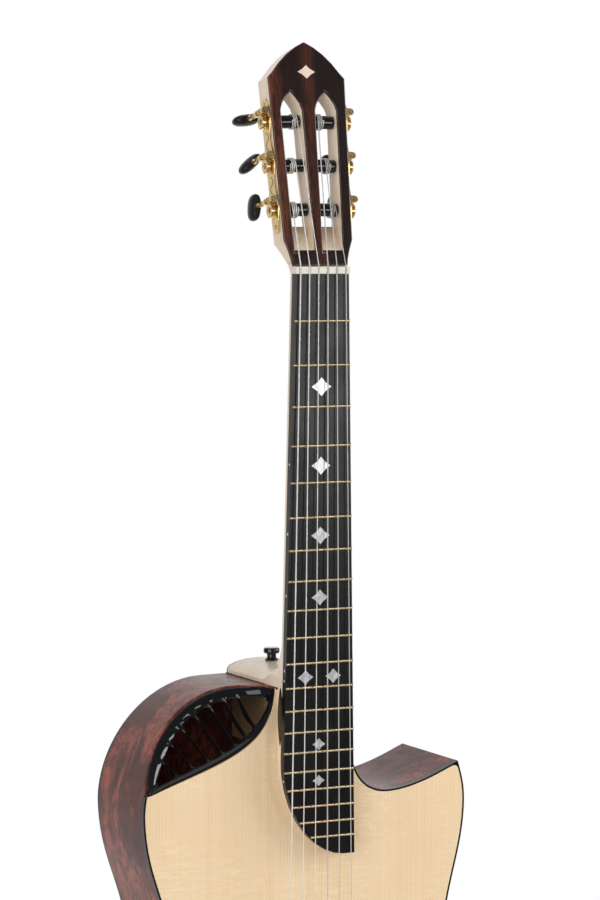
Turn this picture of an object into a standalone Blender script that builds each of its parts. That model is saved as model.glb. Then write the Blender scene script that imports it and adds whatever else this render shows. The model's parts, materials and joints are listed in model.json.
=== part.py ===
"""Nylon-string jazz guitar with a slotted head, one cutaway and a corner sound port.

Metres, +Z up the neck towards the head, +Y from the face to the back, +X to the treble side.
The origin is at the nut, in the middle of the neck's wood, where a hanger's yoke carries it.
"""
import math

import bmesh
import bpy
from mathutils import Matrix, Vector

# Gaps
GAP = 0.0003                    # between pieces glued or seated on each other
RUNNING_GAP = 0.00035           # round a shaft that turns

# Scale and fingerboard
SCALE = 0.650                   # nut to saddle
FRETS = 20
BODY_JOIN_FRET = 12
NUT_WIDTH = 0.0460
TWELFTH_WIDTH = 0.0585
BOARD_THICKNESS = 0.0060
BOARD_FACE_Y = -0.0140          # board's face at the nut
NECK_TILT = math.radians(2.0)   # neck leans forward of the soundboard's plane
FRET_WIDTH = 0.0022
FRET_CROWN = 0.0010
FRET_HEIGHT = 0.0010
BOARD_LENGTH = 0.4605           # along its treble edge
BOARD_BASS_LENGTH = 0.3840      # where the bass edge starts to curve in
BOARD_END_WIDTH = 0.0100
BOARD_END_SHAPE = 1.85

# Neck wood
SHAFT_AT_NUT = 0.0150           # wood behind the board
SHAFT_AT_HEEL = 0.0170
SHAFT_EDGE = 0.0022             # straight edge before the round back starts
TONGUE_INSET = 0.0015           # raised tongue inside the board's edge
HEEL_RISE = 0.0112              # heel's crest above the body's edge
HEEL_EDGE = 0.0030
HEEL_SHOULDER = 0.0100
HEEL_BLEND = 0.0260             # radius from the shaft's back to the heel's face
HEEL_HALF = 0.0290
HEEL_CAP_THICKNESS = 0.0018

# Nut and strings
NUT_THICKNESS = 0.0055
NUT_HEIGHT = 0.0022             # above the board's face
NUT_NOTCH = 0.0004              # notch wider than its string on each side
STRING_AT_NUT = 0.0016          # underside above the board's face
STRING_AT_TWELFTH = 0.0045
STRING_SPREAD_NUT = 0.0390
STRING_SPREAD_SADDLE = 0.0575
STRING_RADII = (0.00056, 0.00046, 0.00038, 0.00052, 0.00042, 0.00037)
WINDING_TURNS = 3
WINDING_POINTS = 10             # points in a turn
WINDING_SPACE = 0.00055         # between neighbouring turns
WINDING_START = (0.0185, 0.0130, 0.0090)    # off the middle, lowest roller first

# Head
HEAD_TILT = math.radians(9.0)   # leans back
HEAD_FACE_Y = -0.0120           # face plane where it meets z = 0
HEAD_THICKNESS = 0.0200
VENEER_THICKNESS = 0.0017
VENEER_START = 0.0067
HEAD_JOINT = 0.0090             # where the head is jointed to the shaft
JOINT_EDGE = (0.0085, 0.0194)   # depth of its straight edge and of its back there
HEAD_FLARE = 0.0270             # height at which the head has its full breadth
HEAD_HALF = 0.0294              # half breadth there
HEAD_TAPER = math.radians(1.64)
HEAD_SHOULDER = 0.1560
HEAD_SHOULDER_CUT = 0.0036
HEAD_PEAK = 0.1845
SLOT_WALL = 0.0082
STRIP_HALF_LOW = 0.0032         # wood between the slots, at their foot
STRIP_HALF_HIGH = 0.0056        # and where their arch springs
SLOT_FOOT = 0.0170
SLOT_RAMP = 0.0240              # rise of the slot's foot towards the back
SLOT_SPRING = 0.1300
SLOT_TOP = 0.1450

# Tuning machines
LOWEST_ROLLER = 0.0520          # up the head's face
ROLLER_SPACING = 0.0350
ROLLER_DEPTH = 0.0100           # behind the head's face
ROLLER_RADIUS = 0.00525
ROLLER_END_GAP = 0.0006
JOURNAL_RADIUS = 0.0029
PIVOT_RADIUS = 0.0020
PIVOT_LENGTH = 0.0020
PLATE_THICKNESS = 0.0013
PLATE_HALF_WIDTH = 0.0084
PLATE_WAIST = 0.0056
PLATE_END = 0.0180              # beyond the outer rollers
GEAR_TEETH = 16
GEAR_PITCH_RADIUS = 0.0056
WORM_OFFSET = 0.0080            # worm axis above its roller
TOOTH_HEIGHT = 0.0010
TOOTH_ROOT_HALF = 0.00053
TOOTH_TIP_HALF = 0.00028
GEAR_WIDTH = 0.0024
GEAR_HUB_RADIUS = 0.0039
WORM_SIDES = 10
WORM_TURNS = 3
SHAFT_RADIUS = 0.00125
POST_THICKNESS = 0.0030
POST_HALF_WIDTH = 0.0028
COLLAR_RADIUS = 0.0024
COLLAR_WIDTH = 0.0018
STEM_RADIUS = 0.0017
STEM_LENGTH = 0.0120
BUTTON_LENGTH = 0.0228
BUTTON_HEIGHT = 0.0150
BUTTON_THICKNESS = 0.0098
BUTTON_BASE_RADIUS = 0.0032
BUTTON_TURNS = (82.0, 38.0, 4.0)            # degrees, lowest first

# Body
BODY_TOP_Y = 0.0160             # soundboard's face
BODY_JOIN_GAP = 0.0010          # body's edge below the twelfth fret
BODY_DEPTH = 0.1015
BODY_LENGTH = 0.4850
BASS_UPPER_HALF = 0.1418
TREBLE_UPPER_HALF = 0.1374
UPPER_WIDEST = 0.0980           # below the body's edge at the neck
WAIST_HALF = 0.1166
WAIST = 0.2210
LOWER_HALF = 0.1830
LOWER_WIDEST = 0.3640
SHOULDER_FLAT = 0.0500
NECK_HALF = 0.0296              # half width of the sound port's end at the neck
CUTAWAY_CORNER = 0.0322
CUTAWAY_WALL = 0.0360           # straight part of the cutaway's wall
CUTAWAY_LOW_X = 0.0675
CUTAWAY_LOW = 0.0891
HORN_X = 0.1313
HORN = 0.0700
SIDE_THICKNESS = 0.0022
TOP_THICKNESS = 0.0025
BACK_THICKNESS = 0.0028
BACK_ARCH = 0.0035
BINDING_WIDTH = 0.0013
BINDING_HEIGHT = 0.0065
BACK_BINDING_WIDTH = 0.0012
LINING_WIDTH = 0.0050
LINING_HEIGHT = 0.0120
BLOCK_DEPTH = 0.0520            # neck block, down from the side
BLOCK_BASS = 0.0255
TAIL_BLOCK_HALF = 0.0350
TAIL_BLOCK_DEPTH = 0.0160
BRACE_WIDTH = 0.0065
BRACE_HEIGHT = 0.0060
HARMONIC_BAR = 0.1560           # below the body's edge
HARMONIC_HEIGHT = 0.0140
FAN_START = 0.2150
FAN_END = 0.4350
FAN_BRACES = 4
FAN_SPREAD_TOP = 0.0240
FAN_SPREAD_TAIL = 0.0500
BACK_BRACES = (0.1700, 0.3450)
BACK_BRACE_HEIGHT = 0.0120

# Sound port
PORT_LENGTH = 0.1480            # along the side from the neck to the port's tip
PORT_DROP = 0.0327              # how far it reaches down the side
PORT_WIDTH = 0.0460             # how far it reaches into the soundboard
PORT_RIM = 0.0062
PORT_RIM_DEPTH = 0.0050
PORT_ROUND = 0.0012
PORT_SCOOP = 0.0018
PORT_RIBS = 7
PORT_RIB_WIDTH = 0.0019
PORT_RIB_DEPTH = 0.0095
PORT_TIP_WIDTH = 0.0034
FIRST_RIB = 0.31                # shares of the port's length
LAST_RIB = 0.83
FIRST_WINDOW = 0.10
LAST_WINDOW = 0.925

# Bridge
BRIDGE_LENGTH = 0.1860
BRIDGE_WIDTH = 0.0290
BRIDGE_HEIGHT = 0.0085
BRIDGE_WING = 0.0034
BRIDGE_MIDDLE = 0.0860
SADDLE_THICKNESS = 0.0028
SADDLE_LENGTH = 0.0780
SADDLE_SLOT = 0.0045
SADDLE_FROM_FRONT = 0.0075
TIE_BLOCK = 0.0120
TIE_CHANNEL = 0.0045
TIE_HOLE_RADIUS = 0.0011

# Strap button and end pin
PIN_FLANGE_RADIUS = 0.00665
PIN_STEM_RADIUS = 0.0038
PIN_FOOT_RADIUS = 0.0056
PIN_LENGTH = 0.0105
STRAP_BUTTON_DEPTH = 0.0740     # behind the soundboard's face

BODY_START = SCALE * (1 - 2 ** (-BODY_JOIN_FRET / 12)) + BODY_JOIN_GAP
PITCH = 2 * math.pi * GEAR_PITCH_RADIUS / GEAR_TEETH
WORM_PITCH_RADIUS = WORM_OFFSET - GEAR_PITCH_RADIUS
GEAR_RADIUS = GEAR_PITCH_RADIUS + TOOTH_HEIGHT - 0.65 * TOOTH_HEIGHT
WORM_RADIUS = WORM_OFFSET - GEAR_RADIUS + TOOTH_HEIGHT - GAP
WORM_PLANE = GAP + PLATE_THICKNESS + GAP + WORM_RADIUS + 0.0001
HEAD = Matrix.Translation((0.0, HEAD_FACE_Y, 0.0)) @ Matrix.Rotation(-HEAD_TILT, 4, "X")
NECK = Matrix.Translation((0.0, BOARD_FACE_Y, 0.0)) @ Matrix.Rotation(NECK_TILT, 4, "X")
BODY = Matrix.Translation((0.0, BODY_TOP_Y, -BODY_START))

MATERIALS = {
    "spruce": ((0.86, 0.70, 0.46), 0.28, 0.0),
    "rosewood": ((0.24, 0.10, 0.07), 0.25, 0.0),
    "burl": ((0.32, 0.12, 0.08), 0.22, 0.0),
    "maple": ((0.83, 0.67, 0.45), 0.25, 0.0),
    "ebony": ((0.02, 0.018, 0.018), 0.35, 0.0),
    "black_gloss": ((0.01, 0.01, 0.012), 0.12, 0.0),
    "bone": ((0.80, 0.77, 0.68), 0.35, 0.0),
    "brass": ((0.85, 0.60, 0.22), 0.25, 1.0),
    "nylon": ((0.85, 0.85, 0.83), 0.2, 0.0),
    "wound": ((0.60, 0.58, 0.55), 0.35, 1.0),
    "brace_wood": ((0.78, 0.62, 0.42), 0.6, 0.0),
}


# Scene helpers

def material(name):
    found = bpy.data.materials.get(name)
    if found:
        return found
    colour, roughness, metallic = MATERIALS[name]
    made = bpy.data.materials.new(name)
    made.use_nodes = True
    shader = made.node_tree.nodes["Principled BSDF"]
    shader.inputs["Base Color"].default_value = (*colour, 1.0)
    shader.inputs["Roughness"].default_value = roughness
    shader.inputs["Metallic"].default_value = metallic
    made.diffuse_color = (*colour, 1.0)
    return made


def add_frame(name, placed, parent=None):
    frame = bpy.data.objects.new(name, None)
    bpy.context.scene.collection.objects.link(frame)
    frame.parent = parent
    frame.location = placed.to_translation()
    frame.rotation_euler = placed.to_euler()
    return frame


def add_object(name, bm, finish, parent=None, angle=35.0):
    bmesh.ops.recalc_face_normals(bm, faces=bm.faces)
    mesh = bpy.data.meshes.new(name)
    bm.to_mesh(mesh)
    bm.free()
    mesh.shade_smooth()
    mesh.set_sharp_from_angle(angle=math.radians(angle))
    mesh.materials.append(material(finish))
    piece = bpy.data.objects.new(name, mesh)
    bpy.context.scene.collection.objects.link(piece)
    piece.parent = parent
    return piece


def add_guide(name, bm, parent=None):
    """A hidden body that a Boolean uses."""
    guide = add_object(name, bm, "maple", parent)
    guide.hide_render = True
    guide.display_type = "WIRE"
    return guide


def combine(piece, guide, operation):
    change = piece.modifiers.new(guide.name, "BOOLEAN")
    change.operation = operation
    change.solver = "EXACT"
    change.object = guide


# Shapes

def loft(rings, bm=None):
    """Faces between rings of equally many points, with a cap on each end."""
    bm = bm or bmesh.new()
    rows = [[bm.verts.new(point) for point in ring] for ring in rings]
    count = len(rings[0])
    for lower, upper in zip(rows, rows[1:]):
        for i in range(count):
            j = (i + 1) % count
            bm.faces.new((lower[i], lower[j], upper[j], upper[i]))
    bm.faces.new(rows[0])
    bm.faces.new(rows[-1])
    return bm


def closed_loft(rings):
    """Rings joined in a loop, for a strip that closes on itself."""
    bm = bmesh.new()
    rows = [[bm.verts.new(point) for point in ring] for ring in rings]
    count = len(rings[0])
    for lower, upper in zip(rows, rows[1:] + rows[:1]):
        for i in range(count):
            j = (i + 1) % count
            bm.faces.new((lower[i], lower[j], upper[j], upper[i]))
    return bm


def prism(outline, front, back, bm=None):
    """An (x, z) outline carried from one depth to another."""
    return loft([[(x, y, z) for x, z in outline] for y in (front, back)], bm)


def bar(low, high, bm=None):
    outline = [(low[0], low[2]), (high[0], low[2]), (high[0], high[2]), (low[0], high[2])]
    return prism(outline, low[1], high[1], bm)


def turned(profile, axis, centre=(0.0, 0.0, 0.0), sides=12, bm=None):
    """Turn (distance along the axis, radius) steps about X, Y or Z."""
    rings = []
    for along, radius in profile:
        ring = []
        for k in range(sides):
            angle = 2 * math.pi * (k + 0.5) / sides
            a, b = radius * math.cos(angle), radius * math.sin(angle)
            local = {"X": (along, a, b), "Y": (a, along, b), "Z": (a, b, along)}[axis]
            ring.append(tuple(c + v for c, v in zip(centre, local)))
        rings.append(ring)
    return loft(rings, bm)


def bore(radius, sides=12):
    """Radius of a faceted hole that a shaft turns in with its running gap."""
    return (radius + RUNNING_GAP) / math.cos(math.pi / sides)


def curve_at(points, t):
    """A cubic curve through four control points."""
    weights = ((1 - t) ** 3, 3 * (1 - t) ** 2 * t, 3 * (1 - t) * t * t, t ** 3)
    return tuple(sum(w * p[i] for w, p in zip(weights, points)) for i in range(len(points[0])))


def curve(points, count, start=0):
    return [curve_at(points, k / count) for k in range(start, count)]


def inset(line, distance, closed=False):
    """Move an (x, z) line to its right-hand side by a distance, with mitred corners."""
    count = len(line)
    moved = []
    for i, point in enumerate(line):
        pairs = []
        if closed or i > 0:
            pairs.append((line[i - 1], point))
        if closed or i < count - 1:
            pairs.append((point, line[(i + 1) % count]))
        normals = []
        for a, b in pairs:
            dx, dz = b[0] - a[0], b[1] - a[1]
            length = math.hypot(dx, dz)
            normals.append((dz / length, -dx / length))
        nx = sum(n[0] for n in normals) / len(normals)
        nz = sum(n[1] for n in normals) / len(normals)
        scale = distance / (nx * nx + nz * nz)
        moved.append((point[0] + nx * scale, point[1] + nz * scale))
    return moved


# Body outline: x, and z from the body's edge at the neck, clockwise from the front

def lower_bout(upper):
    """From the upper bout's widest point over the waist to just before the tail."""
    waist = (WAIST_HALF, -WAIST)
    lower = (LOWER_HALF, -LOWER_WIDEST)
    line = curve([(upper, -UPPER_WIDEST), (upper, -UPPER_WIDEST - 0.047),
                  (waist[0], waist[1] + 0.050), waist], 6)
    line += curve([waist, (waist[0], waist[1] - 0.050), (lower[0], lower[1] + 0.064), lower], 6)
    line += curve([lower, (lower[0], lower[1] - 0.068), (0.096, -BODY_LENGTH),
                   (0.0, -BODY_LENGTH)], 8)
    return line


def treble_line():
    """Neck's middle, cutaway, horn, waist, tail."""
    corner = (CUTAWAY_CORNER, 0.0)
    wall = (CUTAWAY_CORNER + 0.0008, -CUTAWAY_WALL)
    low = (CUTAWAY_LOW_X, -CUTAWAY_LOW)
    horn = (HORN_X, -HORN)
    upper = (TREBLE_UPPER_HALF, -UPPER_WIDEST)
    line = [(GAP / 2, 0.0), corner]
    line += curve([wall, (wall[0] + 0.001, wall[1] - 0.036), (low[0] - 0.022, low[1]), low], 6)
    line += curve([low, (low[0] + 0.021, low[1]), (horn[0] - 0.021, horn[1] - 0.0095), horn], 4)
    line += curve([horn, (horn[0] + 0.003, horn[1] - 0.010), (upper[0], upper[1] + 0.009), upper], 2)
    return line + lower_bout(TREBLE_UPPER_HALF) + [(GAP / 2, -BODY_LENGTH)]


def shoulder_line():
    """Bass side from the neck's middle to just before the upper bout's widest point."""
    flat = (-SHOULDER_FLAT, 0.0)
    widest = (-BASS_UPPER_HALF, -UPPER_WIDEST)
    return [(-GAP / 2, 0.0)] + curve(
        [flat, (flat[0] - 0.0505, 0.0), (widest[0], widest[1] + 0.0495), widest], 13)


def bass_line():
    """Tail, waist, upper bout, neck's middle."""
    line = shoulder_line() + [(-x, z) for x, z in lower_bout(BASS_UPPER_HALF)]
    return (line + [(-GAP / 2, -BODY_LENGTH)])[::-1]


def along(line, distance):
    """The point at a length along a line."""
    for a, b in zip(line, line[1:]):
        step = math.dist(a, b)
        if distance <= step:
            share = distance / step
            return (a[0] + share * (b[0] - a[0]), a[1] + share * (b[1] - a[1]))
        distance -= step
    return line[-1]


def side_direction(line, distance):
    """Unit inward direction at a length along the bass line, which runs from the neck."""
    a = along(line, max(distance - 0.002, 0.0))
    b = along(line, distance + 0.002)
    length = math.dist(a, b)
    dx, dz = (b[0] - a[0]) / length, (b[1] - a[1]) / length
    return (-dz, dx)


def half_width(line, z):
    """Distance of a side from the middle at a height."""
    widths = []
    for a, b in zip(line, line[1:]):
        if (a[1] - z) * (b[1] - z) <= 0 and a[1] != b[1]:
            widths.append(abs(a[0] + (z - a[1]) / (b[1] - a[1]) * (b[0] - a[0])))
    return min(widths)


# Sound port: a surface between its outer edge on the side and its inner edge on the top

def port_outer(share):
    """Length along the side from the port's start, and depth below the soundboard's face."""
    run, depth = curve_at([(0.0, 0.12), (0.003, 1.34), (0.60, 1.24), (1.0, 0.05)], share)
    return run * PORT_LENGTH, depth * PORT_DROP


def port_inner(share):
    line = shoulder_line() + [(-x, z) for x, z in lower_bout(BASS_UPPER_HALF)]
    tip = along(line, NECK_HALF + PORT_LENGTH)
    inward = side_direction(line, NECK_HALF + PORT_LENGTH)
    end = (tip[0] + inward[0] * PORT_TIP_WIDTH, tip[1] + inward[1] * PORT_TIP_WIDTH)
    start = (-NECK_HALF - GAP, -0.0004)
    return curve_at([start, (-NECK_HALF - 0.0004, -1.087 * PORT_WIDTH),
                     (start[0] - 0.0500, -1.24 * PORT_WIDTH), end], share)


def port_point(share, across, line):
    """A point of the port's surface, its backward direction and its local width."""
    run, depth = port_outer(share)
    ox, oz = along(line, NECK_HALF + run)
    inward = side_direction(line, NECK_HALF + run)
    ix, iz = port_inner(share)
    outer = Vector((ox, depth, oz))
    inner = Vector((ix, 0.0, iz))
    width = (inner - outer).length
    back = Vector((inward[0], 0.0, inward[1])) * (1 - across) + Vector((0.0, 1.0, 0.0)) * across
    back.normalize()
    sag = PORT_SCOOP * min(width / PORT_WIDTH, 1.0) * 4 * across * (1 - across)
    return outer.lerp(inner, across) + back * sag, back, width


def port_rows(width):
    """Distances across the port, with the drop below the surface and whether ribs are deep."""
    edges = [(0.0, PORT_ROUND), (PORT_ROUND, 0.0), (PORT_RIM - PORT_ROUND, 0.0),
             (PORT_RIM, PORT_ROUND)]
    limits = (0.0, 0.10, 0.38, 0.46)
    near = [(min(d, f * width), drop * min(1.0, width / (2.2 * PORT_RIM)), False)
            for (d, drop), f in zip(edges, limits)]
    far = [(width - d, drop, False) for d, drop, _ in near[::-1]]
    inside = near[-1][0], far[0][0]
    ribs = [(inside[0] + f * (inside[1] - inside[0]), near[-1][1], True) for f in (0.2, 0.5, 0.8)]
    return near + ribs + far


def port_columns():
    """Shares along the port, each with whether the cell after it is open between ribs."""
    half = PORT_RIB_WIDTH / 2 / PORT_LENGTH
    step = (LAST_RIB - FIRST_RIB) / (PORT_RIBS - 1)
    ribs = [FIRST_RIB + step * k for k in range(PORT_RIBS)]
    columns = [(0.0, False), (FIRST_WINDOW * 0.5, False)]
    start = FIRST_WINDOW
    for k, rib in enumerate(ribs + [LAST_WINDOW + half]):
        end = rib - half
        parts = 4 if k == 0 else 2
        columns += [(start + (end - start) * i / parts, True) for i in range(parts)]
        columns.append((end, False))
        start = rib + half
    columns += [((LAST_WINDOW + 1.0) / 2, False), (1.0, False)]
    return columns


def port_grille():
    """Rim and ribs as one moulding, open between the ribs."""
    line = shoulder_line() + [(-x, z) for x, z in lower_bout(BASS_UPPER_HALF)]
    columns = port_columns()
    bm = bmesh.new()
    front, back = [], []
    for share, _ in columns:
        width = port_point(share, 0.5, line)[2]
        column_front, column_back = [], []
        for distance, drop, deep in port_rows(width):
            point, inward, _ = port_point(share, distance / width, line)
            depth = PORT_RIB_DEPTH if deep else min(PORT_RIM_DEPTH, 0.36 * width)
            column_front.append(bm.verts.new(point + inward * min(drop, 0.6 * depth)))
            column_back.append(bm.verts.new(point + inward * depth))
        front.append(column_front)
        back.append(column_back)
    rows = len(front[0])
    first, last = 3, rows - 5

    def solid(i, j):
        if not (0 <= i < len(columns) - 1 and 0 <= j < rows - 1):
            return False
        return not (columns[i][1] and first <= j <= last)

    for i in range(len(columns) - 1):
        for j in range(rows - 1):
            if not solid(i, j):
                continue
            for side in (front, back):
                bm.faces.new((side[i][j], side[i + 1][j], side[i + 1][j + 1], side[i][j + 1]))
            borders = (((i, j), (i + 1, j), (i, j - 1)), ((i, j + 1), (i + 1, j + 1), (i, j + 1)),
                       ((i, j), (i, j + 1), (i - 1, j)), ((i + 1, j), (i + 1, j + 1), (i + 1, j)))
            for (a, b), (c, d), beyond in borders:
                if not solid(*beyond):
                    bm.faces.new((front[a][b], front[c][d], back[c][d], back[a][b]))
    loose = [v for v in bm.verts if not v.link_faces]
    bmesh.ops.delete(bm, geom=loose, context="VERTS")
    return bm


# Body pieces

def strip(line, near, far, front, back):
    """A strip along an open line between two insets and two depths."""
    outer = inset(line, near) if near else line
    inner = inset(line, far)
    fronts = front if isinstance(front, list) else [front] * len(line)
    return loft([[(a[0], f, a[1]), (b[0], f, b[1]), (b[0], back, b[1]), (a[0], back, a[1])]
                 for a, b, f in zip(outer, inner, fronts)])


def side_back():
    return BODY_DEPTH - BACK_THICKNESS - GAP


def build_sides(body):
    closed = BINDING_HEIGHT + GAP
    line = treble_line()
    add_object("treble_side", strip(line, 0.0, SIDE_THICKNESS, closed, side_back()), "burl", body)

    path = bass_line()[::-1]
    points, fronts = [path[0], along(path, NECK_HALF - 2 * GAP)], [closed, closed]
    for share, _ in port_columns():
        run, depth = port_outer(share)
        points.append(along(path, NECK_HALF + run))
        fronts.append(depth + GAP)
    tip = NECK_HALF + PORT_LENGTH
    points.append(along(path, tip + 2 * GAP))
    fronts.append(closed)
    length = 0.0
    for a, b in zip(path, path[1:]):
        length += math.dist(a, b)
        if length > tip + 0.004:
            points.append(b)
            fronts.append(closed)
    add_object("bass_side", strip(points[::-1], 0.0, SIDE_THICKNESS, fronts[::-1], side_back()),
               "burl", body)


def tail_to_port():
    """Bass line from the tail to just short of the port's tip."""
    path = bass_line()[::-1]
    tip = NECK_HALF + PORT_LENGTH + 2 * GAP
    length, kept = 0.0, [along(path, tip)]
    for a, b in zip(path, path[1:]):
        length += math.dist(a, b)
        if length > tip + 0.004:
            kept.append(b)
    return kept[::-1]


def rim_line(start):
    """From a starting point over the cutaway and the tail to the port's tip."""
    treble = treble_line()[1:-1]
    bass = tail_to_port()[1:]
    return start + treble + [(0.0, -BODY_LENGTH)] + bass


def build_soundboard(body):
    edge = BINDING_WIDTH + GAP
    rim = inset(rim_line([(-NECK_HALF + 2 * GAP, 0.0)]), edge)
    cut = [port_inner(share) for share, _ in port_columns()[::-1]]
    outline = rim + inset(cut, GAP)
    add_object("soundboard", prism(outline, 0.0, TOP_THICKNESS), "spruce", body)

    binding = strip(rim_line([(-NECK_HALF + 2 * GAP, 0.0)]), 0.0, BINDING_WIDTH, 0.0,
                    BINDING_HEIGHT)
    add_object("top_binding", binding, "black_gloss", body)


def back_outline():
    return treble_line()[:-1] + [(0.0, -BODY_LENGTH)] + bass_line()[1:-1]


def arch_height(share):
    return BACK_ARCH * (1 - share * share)


def build_back(body):
    middle = -0.565 * BODY_LENGTH
    outline = inset(back_outline(), BACK_BINDING_WIDTH + GAP, True)
    shares = (1.0, 0.64, 0.22)

    def ring(share, depth):
        return [(x * share, depth + arch_height(share), middle + (z - middle) * share)
                for x, z in outline]

    inner = [ring(s, BODY_DEPTH - BACK_THICKNESS) for s in shares[::-1]]
    outer = [ring(s, BODY_DEPTH) for s in shares]
    add_object("back_plate", loft(inner + outer), "burl", body)

    outer_line = back_outline()
    inner_line = inset(outer_line, BACK_BINDING_WIDTH, True)
    front = BODY_DEPTH - BACK_THICKNESS
    rings = [[(a[0], front, a[1]), (b[0], front, b[1]), (b[0], BODY_DEPTH, b[1]),
              (a[0], BODY_DEPTH, a[1])] for a, b in zip(outer_line, inner_line)]
    add_object("back_binding", closed_loft(rings), "black_gloss", body)
    return middle, outline


def edge_share(x, z, middle, outline):
    """How far out a point lies between the back's middle and its edge."""
    reach = []
    for a, b in zip(outline, outline[1:] + outline[:1]):
        ax, az, bx, bz = a[0], a[1] - middle, b[0], b[1] - middle
        px, pz = x, z - middle
        side = px * (bz - az) - pz * (bx - ax)
        if abs(side) < 1e-12:
            continue
        t = (ax * (bz - az) - az * (bx - ax)) / side
        s = (ax * pz - az * px) / side
        if t > 0 and -1e-6 <= -s <= 1 + 1e-6:
            reach.append(t)
    return 1 / min(reach) if reach else 0.0


def build_inside(body, middle, outline):
    under = TOP_THICKNESS + GAP
    behind = side_back()
    seat = SIDE_THICKNESS + GAP
    block = bar((-BLOCK_BASS, under, -BLOCK_DEPTH), (CUTAWAY_CORNER - seat, behind, -seat))
    add_object("neck_block", block, "brace_wood", body)

    top_line = rim_line([])
    first = next(i for i, p in enumerate(top_line) if p[1] < -BLOCK_DEPTH)
    shorter = top_line[first:]
    lining = strip(shorter, seat, seat + LINING_WIDTH, under, under + LINING_HEIGHT)
    add_object("top_lining", lining, "brace_wood", body)

    bass = [p for p in bass_line() if not (p[1] > -0.001 and p[0] > -SHOULDER_FLAT - 0.001)]
    bass.append((-BLOCK_BASS - 2 * GAP, 0.0))
    line = shorter[:shorter.index((0.0, -BODY_LENGTH)) + 1] + bass[1:]
    lining = strip(line, seat, seat + LINING_WIDTH, behind - LINING_HEIGHT, behind)
    add_object("back_lining", lining, "brace_wood", body)

    tail = bar((-TAIL_BLOCK_HALF, under + LINING_HEIGHT + GAP,
                -BODY_LENGTH + seat + tail_rise(TAIL_BLOCK_HALF)),
               (TAIL_BLOCK_HALF, behind - LINING_HEIGHT - GAP,
                -BODY_LENGTH + seat + TAIL_BLOCK_DEPTH))
    add_object("tail_block", tail, "brace_wood", body)
    build_braces(body, middle, outline)


def tail_rise(x):
    """How far the tail's curve has risen at a distance from the middle."""
    line = lower_bout(BASS_UPPER_HALF) + [(0.0, -BODY_LENGTH)]
    near = [p[1] + (x - p[0]) / (q[0] - p[0]) * (q[1] - p[1])
            for p, q in zip(line, line[1:]) if q[0] <= x <= p[0] and p[1] < -LOWER_WIDEST]
    return near[0] + BODY_LENGTH


def brace(ends, width, height, face, direction):
    """A bar between two (x, z) ends, thinned towards them, standing off a flat face."""
    (ax, az), (bx, bz) = ends
    length = math.hypot(bx - ax, bz - az)
    nx, nz = -(bz - az) / length * width / 2, (bx - ax) / length * width / 2
    rings = []
    for share, tall in ((0.0, 0.3), (0.14, 1.0), (0.86, 1.0), (1.0, 0.3)):
        x, z = ax + share * (bx - ax), az + share * (bz - az)
        top = face + direction * height * tall
        rings.append([(x + nx, face, z + nz), (x - nx, face, z - nz),
                      (x - nx * 0.6, top, z - nz * 0.6), (x + nx * 0.6, top, z + nz * 0.6)])
    return loft(rings)


def build_braces(body, middle, outline):
    under = TOP_THICKNESS + GAP
    clear = SIDE_THICKNESS + LINING_WIDTH + 4 * GAP
    low = -HARMONIC_BAR - BRACE_WIDTH
    high = -HARMONIC_BAR + BRACE_WIDTH
    bass = bass_line()
    treble = treble_line()
    left = min(half_width(bass, z) for z in (low, high)) - clear
    right = min(half_width(treble, z) for z in (low, high)) - clear
    ends = ((-left, -HARMONIC_BAR), (right, -HARMONIC_BAR))
    add_object("harmonic_bar", brace(ends, BRACE_WIDTH, HARMONIC_HEIGHT, under, 1), "brace_wood",
               body)
    for k in range(FAN_BRACES):
        across = k - (FAN_BRACES - 1) / 2
        ends = ((across * FAN_SPREAD_TOP, -FAN_START), (across * FAN_SPREAD_TAIL, -FAN_END))
        add_object(f"fan_brace_{k + 1}", brace(ends, BRACE_WIDTH, BRACE_HEIGHT, under, 1),
                   "brace_wood", body)
    for k, place in enumerate(BACK_BRACES):
        half = BRACE_WIDTH / 2
        reach = min(half_width(line, -place + s * half)
                    for line in (bass, treble) for s in (-1, 1)) - clear
        rings = []
        for i in range(-4, 5):
            x = reach * i / 4
            share = edge_share(x, -place, middle, outline)
            face = BODY_DEPTH - BACK_THICKNESS + arch_height(share) - 1.5 * GAP
            tall = BACK_BRACE_HEIGHT * (0.35 if abs(i) == 4 else 1.0)
            rings.append([(x, face, -place - half), (x, face, -place + half),
                          (x, face - tall, -place + half * 0.6),
                          (x, face - tall, -place - half * 0.6)])
        add_object(f"back_brace_{k + 1}", loft(rings), "brace_wood", body)


def build_pins(body):
    """Strap button on the heel and end pin at the tail, turned to one profile."""
    profile = [(0.0, PIN_FOOT_RADIUS), (0.10, PIN_FOOT_RADIUS), (0.22, PIN_STEM_RADIUS),
               (0.52, PIN_STEM_RADIUS), (0.58, PIN_FLANGE_RADIUS * 0.93), (0.66, PIN_FLANGE_RADIUS),
               (0.90, PIN_FLANGE_RADIUS), (1.0, PIN_FLANGE_RADIUS * 0.84)]
    base = HEEL_RISE + 2 * GAP
    upward = [(base + a * PIN_LENGTH, r) for a, r in profile]
    add_object("strap_button", turned(upward, "Z", (0.0, STRAP_BUTTON_DEPTH, 0.0), 16),
               "black_gloss", body)
    downward = [(-BODY_LENGTH - GAP - a * PIN_LENGTH, r) for a, r in profile]
    add_object("end_pin", turned(downward, "Z", (0.0, BODY_DEPTH / 2, 0.0), 16), "black_gloss",
               body)


# Fingerboard, in the neck's frame: y behind the board's face, z up from the nut

def board_half(z):
    twelfth = SCALE * (1 - 2 ** (-12 / 12))
    return (NUT_WIDTH + (TWELFTH_WIDTH - NUT_WIDTH) * -z / twelfth) / 2


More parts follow.
